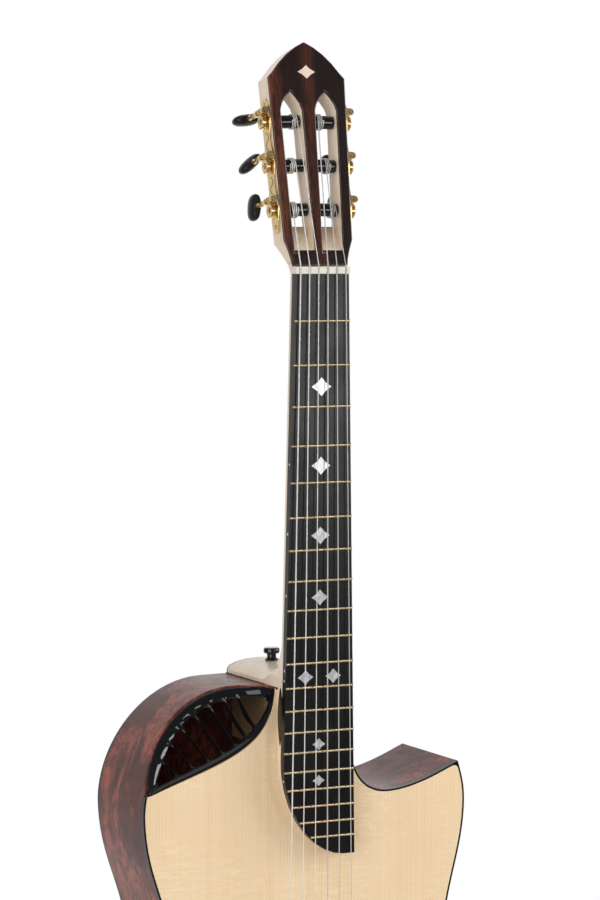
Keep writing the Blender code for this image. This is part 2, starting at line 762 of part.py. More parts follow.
def board_left(z):
    """The board's bass edge, with its curve across to the treble end."""
    if -z <= BOARD_BASS_LENGTH:
        return -board_half(z)
    share = min((-z - BOARD_BASS_LENGTH) / (BOARD_LENGTH - BOARD_BASS_LENGTH), 1.0)
    swing = 1 - (1 - share ** BOARD_END_SHAPE) ** (1 / BOARD_END_SHAPE)
    left, right = -board_half(z), board_half(z) - BOARD_END_WIDTH
    return left + (right - left) * swing


def end_stations(count):
    """Heights down the curved end, closer together towards the tip."""
    reach = BOARD_LENGTH - BOARD_BASS_LENGTH
    return [-BOARD_BASS_LENGTH - reach * math.sin(math.pi / 2 * k / count)
            for k in range(count + 1)]


def build_fingerboard(neck):
    heights = {-GAP / 2: 0.0}
    for z in end_stations(9):
        heights[z] = 0.0
    for fret in range(1, FRETS + 1):
        z = -SCALE * (1 - 2 ** (-fret / 12))
        for other in [h for h in heights if abs(h - z) < FRET_WIDTH]:
            del heights[other]
        heights.update({z + FRET_WIDTH / 2: 0.0, z + FRET_CROWN / 2: FRET_HEIGHT,
                        z - FRET_CROWN / 2: FRET_HEIGHT, z - FRET_WIDTH / 2: 0.0})
    rings = []
    for z in sorted(heights, reverse=True):
        left, right, top = board_left(z), board_half(z), -heights[z]
        rings.append([(left, top, z), (right, top, z), (right, BOARD_THICKNESS, z),
                      (left, BOARD_THICKNESS, z)])
    add_object("fingerboard", loft(rings), "ebony", neck)


# Neck: one loft from the heel's foot, round its blend and up the shaft, and one for the head

ARCH_POINTS = 8


def section(place, half, front, edge, back):
    """A flat front, straight edges and an arched back; edge equal to back squares it off."""
    points = [(half, front)]
    for k in range(ARCH_POINTS + 1):
        angle = math.pi * k / ARCH_POINTS
        points.append((half * math.cos(angle), edge + (back - edge) * math.sin(angle)))
    points.append((-half, front))
    return [place(x, depth) for x, depth in points]


def head_half(z):
    """The head's half breadth at a height up its face."""
    if z <= HEAD_FLARE:
        start = NUT_WIDTH / 2 + 0.0001
        share = max(z / HEAD_FLARE, 0.0)
        return start + (HEAD_HALF - start) * share ** 1.8
    return HEAD_HALF + (z - HEAD_FLARE) * math.tan(HEAD_TAPER)


def head_top():
    """(height, half breadth) from the shoulder to the pointed peak."""
    shoulder = head_half(HEAD_SHOULDER)
    corner = (HEAD_SHOULDER + HEAD_SHOULDER_CUT, shoulder - HEAD_SHOULDER_CUT)
    peak = (HEAD_PEAK, 0.0)
    middle = (HEAD_PEAK - 0.27 * (HEAD_PEAK - corner[0]), corner[1] * 0.55)
    line = [(HEAD_SHOULDER, shoulder)]
    for k in range(5):
        t = k / 4
        line.append(tuple((1 - t) ** 2 * a + 2 * (1 - t) * t * b + t * t * c
                          for a, b, c in zip(corner, middle, peak)))
    return line


def heel_pivot():
    """Centre of the blend's radius in the world."""
    height = -BODY_START + GAP + HEEL_RISE + HEEL_BLEND
    depth = BOARD_THICKNESS + SHAFT_AT_HEEL + HEEL_BLEND
    along_neck = (height - depth * math.sin(NECK_TILT)) / math.cos(NECK_TILT)
    return NECK @ Vector((0.0, depth, along_neck)), depth, along_neck


def neck_rings():
    pivot, depth, along_neck = heel_pivot()
    front_reach = depth - BOARD_THICKNESS - GAP
    foot_reach = HEEL_RISE + HEEL_BLEND
    corner = math.atan2(foot_reach * math.cos(NECK_TILT),
                        front_reach - foot_reach * math.sin(NECK_TILT))
    rings = []
    for y, half in ((BODY_DEPTH - HEEL_CAP_THICKNESS - GAP, HEEL_HALF - 0.0005),
                    ((BODY_DEPTH + pivot.y - BODY_TOP_Y) / 2, HEEL_HALF)):
        rings.append(section(lambda x, t, y=y: BODY @ Vector((x, y, GAP + t)), half, 0.0,
                             HEEL_EDGE, HEEL_RISE))
    quarter = math.pi / 2
    angles = [quarter + (corner - quarter) * k / 5 for k in range(5)]
    angles += [corner + (NECK_TILT - corner) * k / 4 for k in range(5)]
    for angle in angles:
        reach = min(front_reach / math.cos(angle - NECK_TILT), foot_reach / math.sin(angle))
        share = (angle - NECK_TILT) / (quarter - NECK_TILT)
        edge = SHAFT_EDGE + (HEEL_EDGE - SHAFT_EDGE) * share
        edge += HEEL_SHOULDER * math.sin(math.pi * share) ** 2
        half = board_half(along_neck) + (HEEL_HALF - board_half(along_neck)) * share

        def place(x, t, angle=angle, reach=reach):
            out = reach - t
            return (x, pivot.y - out * math.cos(angle), pivot.z - out * math.sin(angle))

        rings.append(section(place, half, 0.0, edge, reach - HEEL_BLEND))
    front = BOARD_THICKNESS + GAP
    face = VENEER_THICKNESS + GAP
    seat = (NECK.inverted() @ (HEAD @ Vector((0.0, face, 0.0)))).y
    for z, wood, near in ((along_neck * 0.5, (SHAFT_AT_NUT + SHAFT_AT_HEEL) / 2, front),
                          (GAP / 2, SHAFT_AT_NUT, front), (GAP, SHAFT_AT_NUT, seat)):
        rings.append(section(lambda x, t, z=z: NECK @ Vector((x, t, z)), board_half(z), near,
                             front + SHAFT_EDGE, BOARD_THICKNESS + wood))

    rings.append(head_ring(HEAD_JOINT, head_half(HEAD_JOINT), *JOINT_EDGE))
    return rings


def head_ring(z, half, edge, back):
    face = VENEER_THICKNESS + GAP
    return section(lambda x, t: HEAD @ Vector((x, t, z)), half, face, edge, back)


def head_rings():
    """From the joint with the shaft to the head's peak."""
    start = HEAD_JOINT + GAP
    rings = [head_ring(start, head_half(start), *JOINT_EDGE),
             head_ring(0.018, head_half(0.018), 0.0145, 0.0198),
             head_ring(HEAD_FLARE, head_half(HEAD_FLARE), HEAD_THICKNESS, HEAD_THICKNESS)]
    top = head_top()
    top[-1] = (HEAD_PEAK - 0.0002, 0.0008)
    return rings + [head_ring(z, half, HEAD_THICKNESS, HEAD_THICKNESS) for z, half in top]


def tongue():
    """The raised wood under the fingerboard over the soundboard, in the world."""
    stations = [-BODY_START + 0.006, -BODY_START - 0.02] + end_stations(8)[:-1]
    left = [(board_left(z) + TONGUE_INSET, z) for z in stations]
    tip = -BOARD_LENGTH + TONGUE_INSET
    left.append((board_left(-BOARD_LENGTH) + 2 * TONGUE_INSET, tip))
    right = [(board_half(tip) - TONGUE_INSET, tip), (board_half(stations[0]) - TONGUE_INSET,
                                                     stations[0])]
    outline = left + right
    high = [NECK @ Vector((x, BOARD_THICKNESS + GAP * 1.2, z)) for x, z in outline]
    low = [Vector((p.x, BODY_TOP_Y - GAP, p.z)) for p in high]
    return loft([high, low])


def slot_outline(side, foot):
    """One pointed slot beside the middle strip, from a foot height."""
    def inner(z):
        share = (z - SLOT_FOOT) / (SLOT_SPRING - SLOT_FOOT)
        return STRIP_HALF_LOW + (STRIP_HALF_HIGH - STRIP_HALF_LOW) * share

    def outer(z):
        return HEAD_HALF + (z - HEAD_FLARE) * math.tan(HEAD_TAPER) - SLOT_WALL

    left, right = inner(SLOT_SPRING), outer(SLOT_SPRING)
    middle = (left + right) / 2
    points = [(inner(foot), foot), (outer(foot), foot), (right, SLOT_SPRING)]
    for share in (0.35, 0.7):
        points.append((right + (middle - right) * share ** 1.6,
                       SLOT_SPRING + (SLOT_TOP - SLOT_SPRING) * share))
    points.append((middle, SLOT_TOP))
    for share in (0.7, 0.35):
        points.append((left + (middle - left) * share ** 1.6,
                       SLOT_SPRING + (SLOT_TOP - SLOT_SPRING) * share))
    points.append((left, SLOT_SPRING))
    return [(side * x, z) for x, z in points]


def slot_guide(head):
    bm = bmesh.new()
    for side in (-1, 1):
        rings = []
        for y in (-0.002, HEAD_THICKNESS + 0.002):
            foot = SLOT_FOOT + SLOT_RAMP * y / HEAD_THICKNESS
            rings.append([(x, y, z) for x, z in slot_outline(side, foot)])
        loft(rings, bm)
    return add_guide("head_slots", bm, head)


def tuners():
    """(number, side, roller height); 1 to 3 up the bass side, 4 to 6 up the treble side."""
    return [(3 * (side > 0) + k + 1, side, LOWEST_ROLLER + k * ROLLER_SPACING)
            for side in (-1, 1) for k in range(3)]


def side_frame(side, z):
    """A frame on the head's side: x out of the treble side, y back, z up the side."""
    return (Matrix.Translation((side * head_half(z), ROLLER_DEPTH, z))
            @ Matrix.Rotation(side * HEAD_TAPER, 4, "Y"))


def strip_reach(z):
    """From the head's side to the middle strip, at a roller."""
    share = (z - SLOT_FOOT) / (SLOT_SPRING - SLOT_FOOT)
    return head_half(z) - STRIP_HALF_LOW - (STRIP_HALF_HIGH - STRIP_HALF_LOW) * share


def bore_guide(head):
    bm = bmesh.new()
    for _, side, z in tuners():
        start = len(bm.verts)
        reach = strip_reach(z)
        turned([(-side * (SLOT_WALL + 0.001), bore(JOURNAL_RADIUS)),
                (side * 0.002, bore(JOURNAL_RADIUS))], "X", bm=bm)
        turned([(-side * (reach - 0.001), bore(PIVOT_RADIUS)),
                (-side * (reach + PIVOT_LENGTH + ROLLER_END_GAP), bore(PIVOT_RADIUS))], "X", bm=bm)
        bm.verts.ensure_lookup_table()
        bmesh.ops.transform(bm, matrix=side_frame(side, z), verts=bm.verts[start:])
    return add_guide("roller_bores", bm, head)


def build_neck(neck_frame, head, body):
    neck = add_object("neck", loft(neck_rings()), "maple", angle=28.0)
    combine(neck, add_guide("tongue", tongue()), "UNION")
    core = add_object("head_core", loft(head_rings()), "maple", angle=28.0)
    slots = slot_guide(head)
    combine(core, slots, "DIFFERENCE")
    combine(core, bore_guide(head), "DIFFERENCE")

    top = head_top()
    heights = [(VENEER_START, head_half(VENEER_START)), (0.012, head_half(0.012)),
               (0.019, head_half(0.019)), (HEAD_FLARE, head_half(HEAD_FLARE))] + top
    outline = [(half, z) for z, half in heights] + [(-half, z) for z, half in heights[-2::-1]]
    veneer = add_object("head_veneer", prism(outline, 0.0, VENEER_THICKNESS), "rosewood", head)
    combine(veneer, slots, "DIFFERENCE")

    rings = [section(lambda x, t, y=y: (x, y, GAP + t), HEEL_HALF - 0.0005, 0.0, HEEL_EDGE,
                     HEEL_RISE) for y in (BODY_DEPTH - HEEL_CAP_THICKNESS, BODY_DEPTH)]
    add_object("heel_cap", loft(rings), "black_gloss", body)


# Strings and nut

def string_x(k, spread):
    return (k - 2.5) / 5 * spread


def string_height(z, radius):
    """A string's centre in front of the board's face, at a height in the neck's frame."""
    twelfth = SCALE / 2
    rise = (STRING_AT_TWELFTH - STRING_AT_NUT) / twelfth
    return -(STRING_AT_NUT + rise * -z + radius)


def build_nut(neck):
    top, notch = -NUT_HEIGHT, -STRING_AT_NUT + GAP
    half = NUT_WIDTH / 2 + 0.0004
    upper = [(-half, top)]
    for k, radius in enumerate(STRING_RADII):
        x, reach = string_x(k, STRING_SPREAD_NUT), radius + NUT_NOTCH
        upper += [(x - reach, top), (x - reach, notch), (x + reach, notch), (x + reach, top)]
    upper.append((half, top))
    rings = []
    for z in (GAP / 2, GAP / 2 + NUT_THICKNESS):
        seat = NECK.inverted() @ (HEAD @ Vector((0.0, VENEER_THICKNESS, z - 0.0002)))
        rings.append([(x, y, z) for x, y in upper] + [(half, seat.y, z), (-half, seat.y, z)])
    add_object("nut", loft(rings), "bone", neck)


def string_tuner(k):
    """The roller a string winds on: outer strings lowest."""
    level = min(k, 5 - k)
    side = -1 if k < 3 else 1
    return level, side, LOWEST_ROLLER + level * ROLLER_SPACING


def winding(k, radius, start):
    """A string's turns round its roller, from the tangent point on the roller's front."""
    level, side, z = string_tuner(k)
    frame = HEAD @ side_frame(side, z)
    local = frame.inverted() @ start
    reach = ROLLER_RADIUS + GAP + radius
    distance = math.hypot(local.y, local.z)
    toward = math.atan2(local.z, local.y)
    swing = math.acos(reach / distance)
    first = min((toward + swing, toward - swing), key=lambda a: math.cos(a))
    offset = side * (WINDING_START[level] - head_half(z))
    step = side * (2 * radius + WINDING_SPACE) * (-1 if level == 0 else 1)
    points = []
    for i in range(WINDING_TURNS * WINDING_POINTS + 1):
        turn = i / WINDING_POINTS
        angle = first - 2 * math.pi * turn
        points.append(frame @ Vector((offset + step * turn, reach * math.cos(angle),
                                      reach * math.sin(angle))))
    return points


def least_gap(points, radius):
    """The smallest space between turns that are at least half a turn apart."""
    half = WINDING_POINTS // 2
    return min((a - b).length for i, a in enumerate(points) for b in points[i + half:]) - 2 * radius


def build_strings(body):
    bridge = BODY @ Vector((0.0, 0.0, -(SCALE - BODY_START)))
    saddle_y = (NECK @ Vector((0.0, string_height(-SCALE, 0.0), -SCALE))).y
    hole_y = BODY_TOP_Y - (BRIDGE_HEIGHT + TIE_CHANNEL) / 2
    back_edge = SADDLE_FROM_FRONT - BRIDGE_WIDTH
    for k, radius in enumerate(STRING_RADII):
        x = string_x(k, STRING_SPREAD_SADDLE)
        near = string_x(k, STRING_SPREAD_NUT)
        route = [Vector((x, hole_y, bridge.z + back_edge - 0.003)),
                 Vector((x, hole_y, bridge.z + back_edge + TIE_BLOCK + 0.0008)),
                 Vector((x, saddle_y - radius, bridge.z - SADDLE_THICKNESS / 2 - 0.0009)),
                 Vector((x, saddle_y - radius, bridge.z + SADDLE_THICKNESS / 2)),
                 NECK @ Vector((near, string_height(0.0, radius), 0.0)),
                 NECK @ Vector((near, string_height(0.0, radius), NUT_THICKNESS + 0.0006))]
        turns = winding(k, radius, route[-1])
        print(f"string {k + 1}: least gap of its winding {least_gap(turns, radius) * 1000:.2f} mm")
        data = bpy.data.curves.new(f"string_{6 - k}", "CURVE")
        data.dimensions = "3D"
        data.bevel_depth = radius
        data.bevel_resolution = 1
        data.use_fill_caps = True
        spline = data.splines.new("POLY")
        spline.points.add(len(route + turns) - 1)
        for point, place in zip(spline.points, route + turns):
            point.co = (*place, 1.0)
        data.materials.append(material("wound" if k < 3 else "nylon"))
        string = bpy.data.objects.new(f"string_{6 - k}", data)
        bpy.context.scene.collection.objects.link(string)


# Tuning machines

def build_plate(side, head):
    middle = LOWEST_ROLLER + ROLLER_SPACING
    frame = add_frame(f"plate_frame_{'bass' if side < 0 else 'treble'}", side_frame(side, middle),
                      head)
    reach = ROLLER_SPACING + PLATE_END
    steps = 18
    edge = []
    for k in range(steps + 1):
        z = -reach + 2 * reach * k / steps
        lobe = 0.5 + 0.5 * math.cos(2 * math.pi * (z - WORM_OFFSET / 2) / ROLLER_SPACING)
        width = PLATE_WAIST + (PLATE_HALF_WIDTH - PLATE_WAIST) * lobe
        edge.append((width * (0.55 if k in (0, steps) else 1.0), z))
    outline = edge + [(-y, z) for y, z in edge[::-1]]
    near, far = side * GAP, side * (GAP + PLATE_THICKNESS)
    plate = add_object(f"machine_plate_{'bass' if side < 0 else 'treble'}",
                       loft([[(x, y, z) for y, z in outline] for x in (near, far)]), "brass",
                       frame)

    posts, bores = bmesh.new(), bmesh.new()
    inner = WORM_RADIUS + 0.0022
    for level in (-1, 0, 1):
        z = level * ROLLER_SPACING
        arch = [(side * (WORM_PLANE + POST_HALF_WIDTH * math.sin(math.pi * i / 4)),
                 z + WORM_OFFSET + POST_HALF_WIDTH * math.cos(math.pi * i / 4)) for i in range(5)]
        foot = side * (GAP + PLATE_THICKNESS / 2)
        post = [(foot, z + WORM_OFFSET + POST_HALF_WIDTH)] + arch
        post.append((foot, z + WORM_OFFSET - POST_HALF_WIDTH))
        for y in (-inner - POST_THICKNESS, inner):
            prism(post, y, y + POST_THICKNESS, posts)
        turned([(-side * 0.002, bore(JOURNAL_RADIUS)), (side * 0.0035, bore(JOURNAL_RADIUS))],
               "X", (0.0, 0.0, z), bm=bores)
        reach_y = inner + POST_THICKNESS + 0.001
        turned([(-reach_y, bore(SHAFT_RADIUS)), (reach_y, bore(SHAFT_RADIUS))], "Y",
               (side * WORM_PLANE, 0.0, z + WORM_OFFSET), bm=bores)
    name = "bass" if side < 0 else "treble"
    combine(plate, add_guide(f"posts_{name}", posts, frame), "UNION")
    combine(plate, add_guide(f"plate_bores_{name}", bores, frame), "DIFFERENCE")


def gear_shape(side):
    """A wheel of slanted teeth with a hub towards the plate, about local X."""
    root = GEAR_RADIUS - TOOTH_HEIGHT
    bm = bmesh.new()

    def ring(x):
        twist = x * PITCH / (2 * math.pi * WORM_PITCH_RADIUS) / GEAR_PITCH_RADIUS
        points = []
        for k in range(GEAR_TEETH):
            middle = 2 * math.pi * k / GEAR_TEETH + twist
            for radius, half in ((root, -TOOTH_ROOT_HALF), (GEAR_RADIUS, -TOOTH_TIP_HALF),
                                 (GEAR_RADIUS, TOOTH_TIP_HALF), (root, TOOTH_ROOT_HALF)):
                angle = middle + half / radius
                points.append(bm.verts.new((x, -radius * math.sin(angle),
                                            radius * math.cos(angle))))
        return points

    inner, outer = ring(-side * GEAR_WIDTH / 2), ring(side * GEAR_WIDTH / 2)
    count = len(inner)
    for i in range(count):
        j = (i + 1) % count
        bm.faces.new((inner[i], inner[j], outer[j], outer[i]))
    bm.faces.new(outer)
    start = -side * (WORM_PLANE - GAP - PLATE_THICKNESS - GAP)
    hub = []
    for x in (-side * GEAR_WIDTH / 2, start):
        hub.append([bm.verts.new((x, -GEAR_HUB_RADIUS * math.sin(2 * math.pi * k / GEAR_TEETH),
                                  GEAR_HUB_RADIUS * math.cos(2 * math.pi * k / GEAR_TEETH)))
                    for k in range(GEAR_TEETH)])
    for k in range(GEAR_TEETH):
        j = (k + 1) % GEAR_TEETH
        bm.faces.new((hub[0][k], hub[0][j], hub[1][j], hub[1][k]))
        teeth = [inner[(4 * k + 1 + i) % count] for i in range(5)]
        bm.faces.new([hub[0][k]] + teeth + [hub[0][j]])
    bm.faces.new(hub[1])
    return bm


def worm_shape():
    """A right-hand thread on a shaft about local Y, with a collar and a stem for the button."""
    bm = bmesh.new()
    sides = WORM_SIDES
    root = WORM_RADIUS - TOOTH_HEIGHT
    samples = ((-TOOTH_ROOT_HALF, root), (-TOOTH_TIP_HALF, WORM_RADIUS),
               (TOOTH_TIP_HALF, WORM_RADIUS), (TOOTH_ROOT_HALF, root))
    first = -(WORM_TURNS / 2) * PITCH

    def vertex(row, j):
        along_axis = first + (row // 4) * PITCH + samples[row % 4][0] + PITCH * j / sides
        radius = samples[row % 4][1]
        angle = 2 * math.pi * j / sides
        return bm.verts.new((-radius * math.sin(angle), along_axis, -radius * math.cos(angle)))

    last = 4 * WORM_TURNS - 1
    grid = {(row, j): vertex(row, j) for row in range(last + 1) for j in range(sides)}
    for row in range(last + 1, last + 5):
        grid[(row, 0)] = vertex(row, 0)

    def at(row, j):
        return grid[(row + 4, 0)] if j == sides else grid[(row, j)]

    for row in range(last):
        for j in range(sides):
            bm.faces.new((at(row, j), at(row, j + 1), at(row + 1, j + 1), at(row + 1, j)))

    def plain(y, radius):
        return [bm.verts.new((-radius * math.sin(2 * math.pi * j / sides), y,
                              -radius * math.cos(2 * math.pi * j / sides)))
                for j in range(sides)]

    def join(lower, upper):
        for j in range(sides):
            k = (j + 1) % sides
            bm.faces.new((lower[j], lower[k], upper[k], upper[j]))

    inner = WORM_RADIUS + 0.0022
    end = inner - GAP
    front = [plain(-inner - POST_THICKNESS - 0.0003, SHAFT_RADIUS), plain(-end, SHAFT_RADIUS),
             plain(-end + 0.0001, root - 0.0002)]
    for lower, upper in zip(front, front[1:]):
        join(lower, upper)
    bm.faces.new(front[0])
    outer = inner + POST_THICKNESS + GAP
    stem = outer + COLLAR_WIDTH
    rear = [plain(end - 0.0001, root - 0.0002), plain(end, SHAFT_RADIUS),
            plain(outer, SHAFT_RADIUS), plain(outer + 0.0001, COLLAR_RADIUS),
            plain(stem, COLLAR_RADIUS), plain(stem + 0.0012, STEM_RADIUS),
            plain(stem + STEM_LENGTH * 0.45, STEM_RADIUS),
            plain(stem + STEM_LENGTH * 0.55, STEM_RADIUS * 1.35),
            plain(stem + STEM_LENGTH * 0.65, STEM_RADIUS), plain(stem + STEM_LENGTH, STEM_RADIUS)]
    for lower, upper in zip(rear, rear[1:]):
        join(lower, upper)
    bm.faces.new(rear[-1])
    for j in range(sides):
        k = (j + 1) % sides
        bm.faces.new((front[-1][j], front[-1][k], at(0, j + 1), at(0, j)))
        bm.faces.new((at(last, j), at(last, j + 1), rear[0][k], rear[0][j]))
    bm.faces.new([front[-1][0]] + [grid[(row, 0)] for row in range(5)])
    bm.faces.new([rear[0][0]] + [grid[(row, 0)] for row in range(last + 4, last - 1, -1)])
    return bm, stem + STEM_LENGTH


def button_shape(start):
    """A rounded oval button about local Y, longest along local X."""
    rings = []
    for share, size in ((0.0, 0.0), (0.06, 0.55), (0.22, 0.88), (0.5, 1.0), (0.8, 0.9),
                        (0.95, 0.66), (1.0, 0.4)):
        ring = []
        for k in range(12):
            angle = 2 * math.pi * (k + 0.5) / 12
            if size == 0.0:
                x, z = (BUTTON_BASE_RADIUS * f(angle) for f in (math.cos, math.sin))
            else:
                x = BUTTON_LENGTH / 2 * size ** 0.5 * math.copysign(
                    abs(math.cos(angle)) ** 0.75, math.cos(angle))
                z = BUTTON_THICKNESS / 2 * size * math.copysign(
                    abs(math.sin(angle)) ** 0.85, math.sin(angle))
            ring.append((x, start + BUTTON_HEIGHT * share, z))
        rings.append(ring)
    return loft(rings)


def roller_shape(side, z):
    reach = strip_reach(z)
    drum = -side * (SLOT_WALL + ROLLER_END_GAP), -side * (reach - ROLLER_END_GAP)
    profile = [(side * (GAP + PLATE_THICKNESS), JOURNAL_RADIUS), (drum[0] + side * 0.0001,
                                                                  JOURNAL_RADIUS),
               (drum[0], ROLLER_RADIUS), (drum[1], ROLLER_RADIUS),
               (drum[1] - side * 0.0001, PIVOT_RADIUS),
               (-side * (reach + PIVOT_LENGTH), PIVOT_RADIUS)]
    return turned(profile, "X")


def build_tuners(head):
    for number, side, z in tuners():
        frame = add_frame(f"tuner_frame_{number}", side_frame(side, z), head)
        add_object(f"roller_{number}", roller_shape(side, z), "black_gloss", frame)
        gear = add_object(f"gear_{number}", gear_shape(side), "brass", frame)
        gear.location = (side * WORM_PLANE, 0.0, 0.0)
        shape, end = worm_shape()
        worm = add_object(f"worm_{number}", shape, "brass", frame)
        worm.location = (side * WORM_PLANE, 0.0, WORM_OFFSET)
        button = add_object(f"button_{number}", button_shape(end + GAP), "black_gloss", frame)
        button.location = worm.location
        turn = BUTTON_TURNS[(number - 1) % 3]
        button.rotation_euler = (0.0, side * math.radians(turn), 0.0)


# Bridge

def build_bridge(body):
    place = -(SCALE - BODY_START)
    front, back = SADDLE_FROM_FRONT, SADDLE_FROM_FRONT - BRIDGE_WIDTH
    slot = SADDLE_THICKNESS / 2 + GAP
    block = back + TIE_BLOCK
    middle = [(front, 0.0), (front - 0.0025, BRIDGE_HEIGHT * 0.9), (slot, BRIDGE_HEIGHT),
              (slot, BRIDGE_HEIGHT - SADDLE_SLOT), (-slot, BRIDGE_HEIGHT - SADDLE_SLOT),
              (-slot, BRIDGE_HEIGHT), (-slot - 0.0022, BRIDGE_HEIGHT),
              (-slot - 0.0030, TIE_CHANNEL - 0.0010), (block, TIE_CHANNEL - 0.0010),
              (block, BRIDGE_HEIGHT), (back + 0.0012, BRIDGE_HEIGHT), (back, 0.0)]

    def wing(size):
        """A low rounded profile with as many points as the middle's."""
        last = len(middle) - 1
        points = []
        for i in range(last + 1):
            t = i / last
            height = 0.35 + 0.65 * 4 * t * (1 - t) if 0 < i < last else 0.0
            points.append((front + (back - front) * t, BRIDGE_WING * size * height))
        return points

    half, reach = BRIDGE_MIDDLE / 2, BRIDGE_LENGTH / 2
    rings = []
    for x, profile in ((-reach, wing(0.7)), (-half - 0.004, wing(1.0)), (-half, middle),
                       (half, middle), (half + 0.004, wing(1.0)), (reach, wing(0.7))):
        rings.append([(x, -GAP - h, place + z) for z, h in profile])
    bridge = add_object("bridge", loft(rings), "ebony", body)
    bm = bmesh.new()
    hole_y = -(BRIDGE_HEIGHT + TIE_CHANNEL) / 2
    for k in range(6):
        turned([(place + back - 0.002, TIE_HOLE_RADIUS), (place + block + 0.0012, TIE_HOLE_RADIUS)],
               "Z", (string_x(k, STRING_SPREAD_SADDLE), hole_y, 0.0), 8, bm)
    combine(bridge, add_guide("tie_holes", bm, body), "DIFFERENCE")

    saddle_y = (NECK @ Vector((0.0, string_height(-SCALE, 0.0), -SCALE))).y - BODY_TOP_Y
    half = SADDLE_LENGTH / 2
    saddle = bar((-half, saddle_y + GAP, place - SADDLE_THICKNESS / 2),
                 (half, -GAP - BRIDGE_HEIGHT + SADDLE_SLOT - GAP, place + SADDLE_THICKNESS / 2))
    add_object("saddle", saddle, "bone", body)


def main():
    for item in list(bpy.data.objects):
        bpy.data.objects.remove(item, do_unlink=True)
    body = add_frame("body_frame", BODY)
    neck = add_frame("neck_frame", NECK)
    head = add_frame("head_frame", HEAD)
    build_sides(body)
    build_soundboard(body)
    middle, outline = build_back(body)
    build_inside(body, middle, outline)
    add_object("soundport_grille", port_grille(), "black_gloss", body, 50.0)
    build_pins(body)
    build_bridge(body)
    build_fingerboard(neck)
    build_nut(neck)
    build_neck(neck, head, body)
    for side in (-1, 1):
        build_plate(side, head)
    build_tuners(head)
    build_strings(body)


if __name__ == "__main__":
    main()
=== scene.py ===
"""Looks of a nylon-string jazz guitar with a slotted head, one cutaway and a corner sound port.

Metres. X runs to the treble side, Y from the face to the back, Z up the neck.
"""

import json
from math import acos, atan2, copysign, cos, hypot, pi, radians, sin, tan

import bpy
from bpy.props import FloatProperty, FloatVectorProperty, IntProperty, PointerProperty
from bpy.types import NodeSocket, Operator, Panel, PropertyGroup
from mathutils import Matrix, Vector


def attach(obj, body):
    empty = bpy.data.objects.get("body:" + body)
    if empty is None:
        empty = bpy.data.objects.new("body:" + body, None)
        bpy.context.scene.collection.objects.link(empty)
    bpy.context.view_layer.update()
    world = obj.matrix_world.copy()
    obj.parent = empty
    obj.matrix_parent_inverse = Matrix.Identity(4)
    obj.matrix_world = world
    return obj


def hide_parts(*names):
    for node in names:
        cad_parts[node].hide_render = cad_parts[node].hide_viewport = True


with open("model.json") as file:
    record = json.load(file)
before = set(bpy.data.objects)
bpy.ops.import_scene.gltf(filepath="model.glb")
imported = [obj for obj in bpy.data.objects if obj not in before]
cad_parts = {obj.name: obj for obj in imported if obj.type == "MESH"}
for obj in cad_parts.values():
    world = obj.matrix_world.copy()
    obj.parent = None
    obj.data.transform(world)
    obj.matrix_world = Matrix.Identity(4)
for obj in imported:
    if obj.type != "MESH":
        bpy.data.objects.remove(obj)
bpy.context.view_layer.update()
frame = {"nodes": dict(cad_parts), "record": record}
NODES = frame["nodes"]

bl_info = {
    "name": "Jazz guitar",
    "version": (1, 0, 0),
    "blender": (4, 5, 0),
    "location": "View3D > Sidebar > Guitar",
    "description": "Strings, frets, inlays, tuning machines, finishes and studio of a jazz guitar",
    "category": "Object",
}


def at(x, y, z):
    return Matrix.Translation((x, y, z))


def spun(degrees, axis):
    return Matrix.Rotation(radians(degrees), 4, axis)


# Places that the pieces share with the frame
SCALE = 0.650  # nut to saddle
GAP = 0.0003
NUT_BREADTH = 0.0460
BODY_BREADTH = 0.0585  # of the board, where the body starts
BOARD_CURVE = (0.3840, 0.4605)  # where the board's curved end starts and stops
BOARD_CURVE_SHAPE = 1.85
BOARD_TIP = 0.0100  # straight part of that end, at the treble edge
HEAD_HALF = 0.0294
HEAD_FLARE = 0.0270
HEAD_TAPER = radians(1.64)
SLOT_FOOT = 0.0170
SLOT_SPRING = 0.1300
SLOT_WALL = 0.0082
STRIP_HALF = (0.0032, 0.0056)  # wood between the slots, at their foot and where they arch
LOWEST_ROLLER = 0.0520
ROLLER_SPACING = 0.0350
ROLLER_DEPTH = 0.0100
ROLLER_RADIUS = 0.00525
JOURNAL_RADIUS = 0.0029
PLATE_FACE = 0.0016  # plate's outer face off the head's side
GEAR_PITCH_RADIUS = 0.0056
PITCH = 2 * pi * GEAR_PITCH_RADIUS / 16
WORM_OFFSET = 0.0080
WORM_RADIUS = 0.00275
WORM_PLANE = 0.00475
BODY_EDGE = -SCALE / 2 - 0.001  # body's upper edge at the neck
BODY_TOP = 0.0160  # soundboard's face
BODY_DEPTH = 0.1015
BODY_LENGTH = 0.4850
BRIDGE = BODY_EDGE - (SCALE / 2 - 0.001)
HEAD = at(0.0, -0.0120, 0.0) @ spun(-9.0, "X")
NECK = at(0.0, -0.0140, 0.0) @ spun(2.0, "X")
ON_AXIS_Y = spun(-90.0, "X")
ON_AXIS_X = spun(90.0, "Y")


# What a user may change

def length(name, text, default):
    return FloatProperty(name=name, description=text, default=default, min=0.0, max=1.0,
                         subtype="DISTANCE", unit="LENGTH", precision=5)


def tint(name, text, default):
    return FloatVectorProperty(name=name, description=text, default=default, min=0.0, max=1.0,
                               subtype="COLOR", size=3)


def power(name, text, default):
    return FloatProperty(name=name, description=text, default=default, min=0.0,
                         subtype="POWER", unit="POWER")


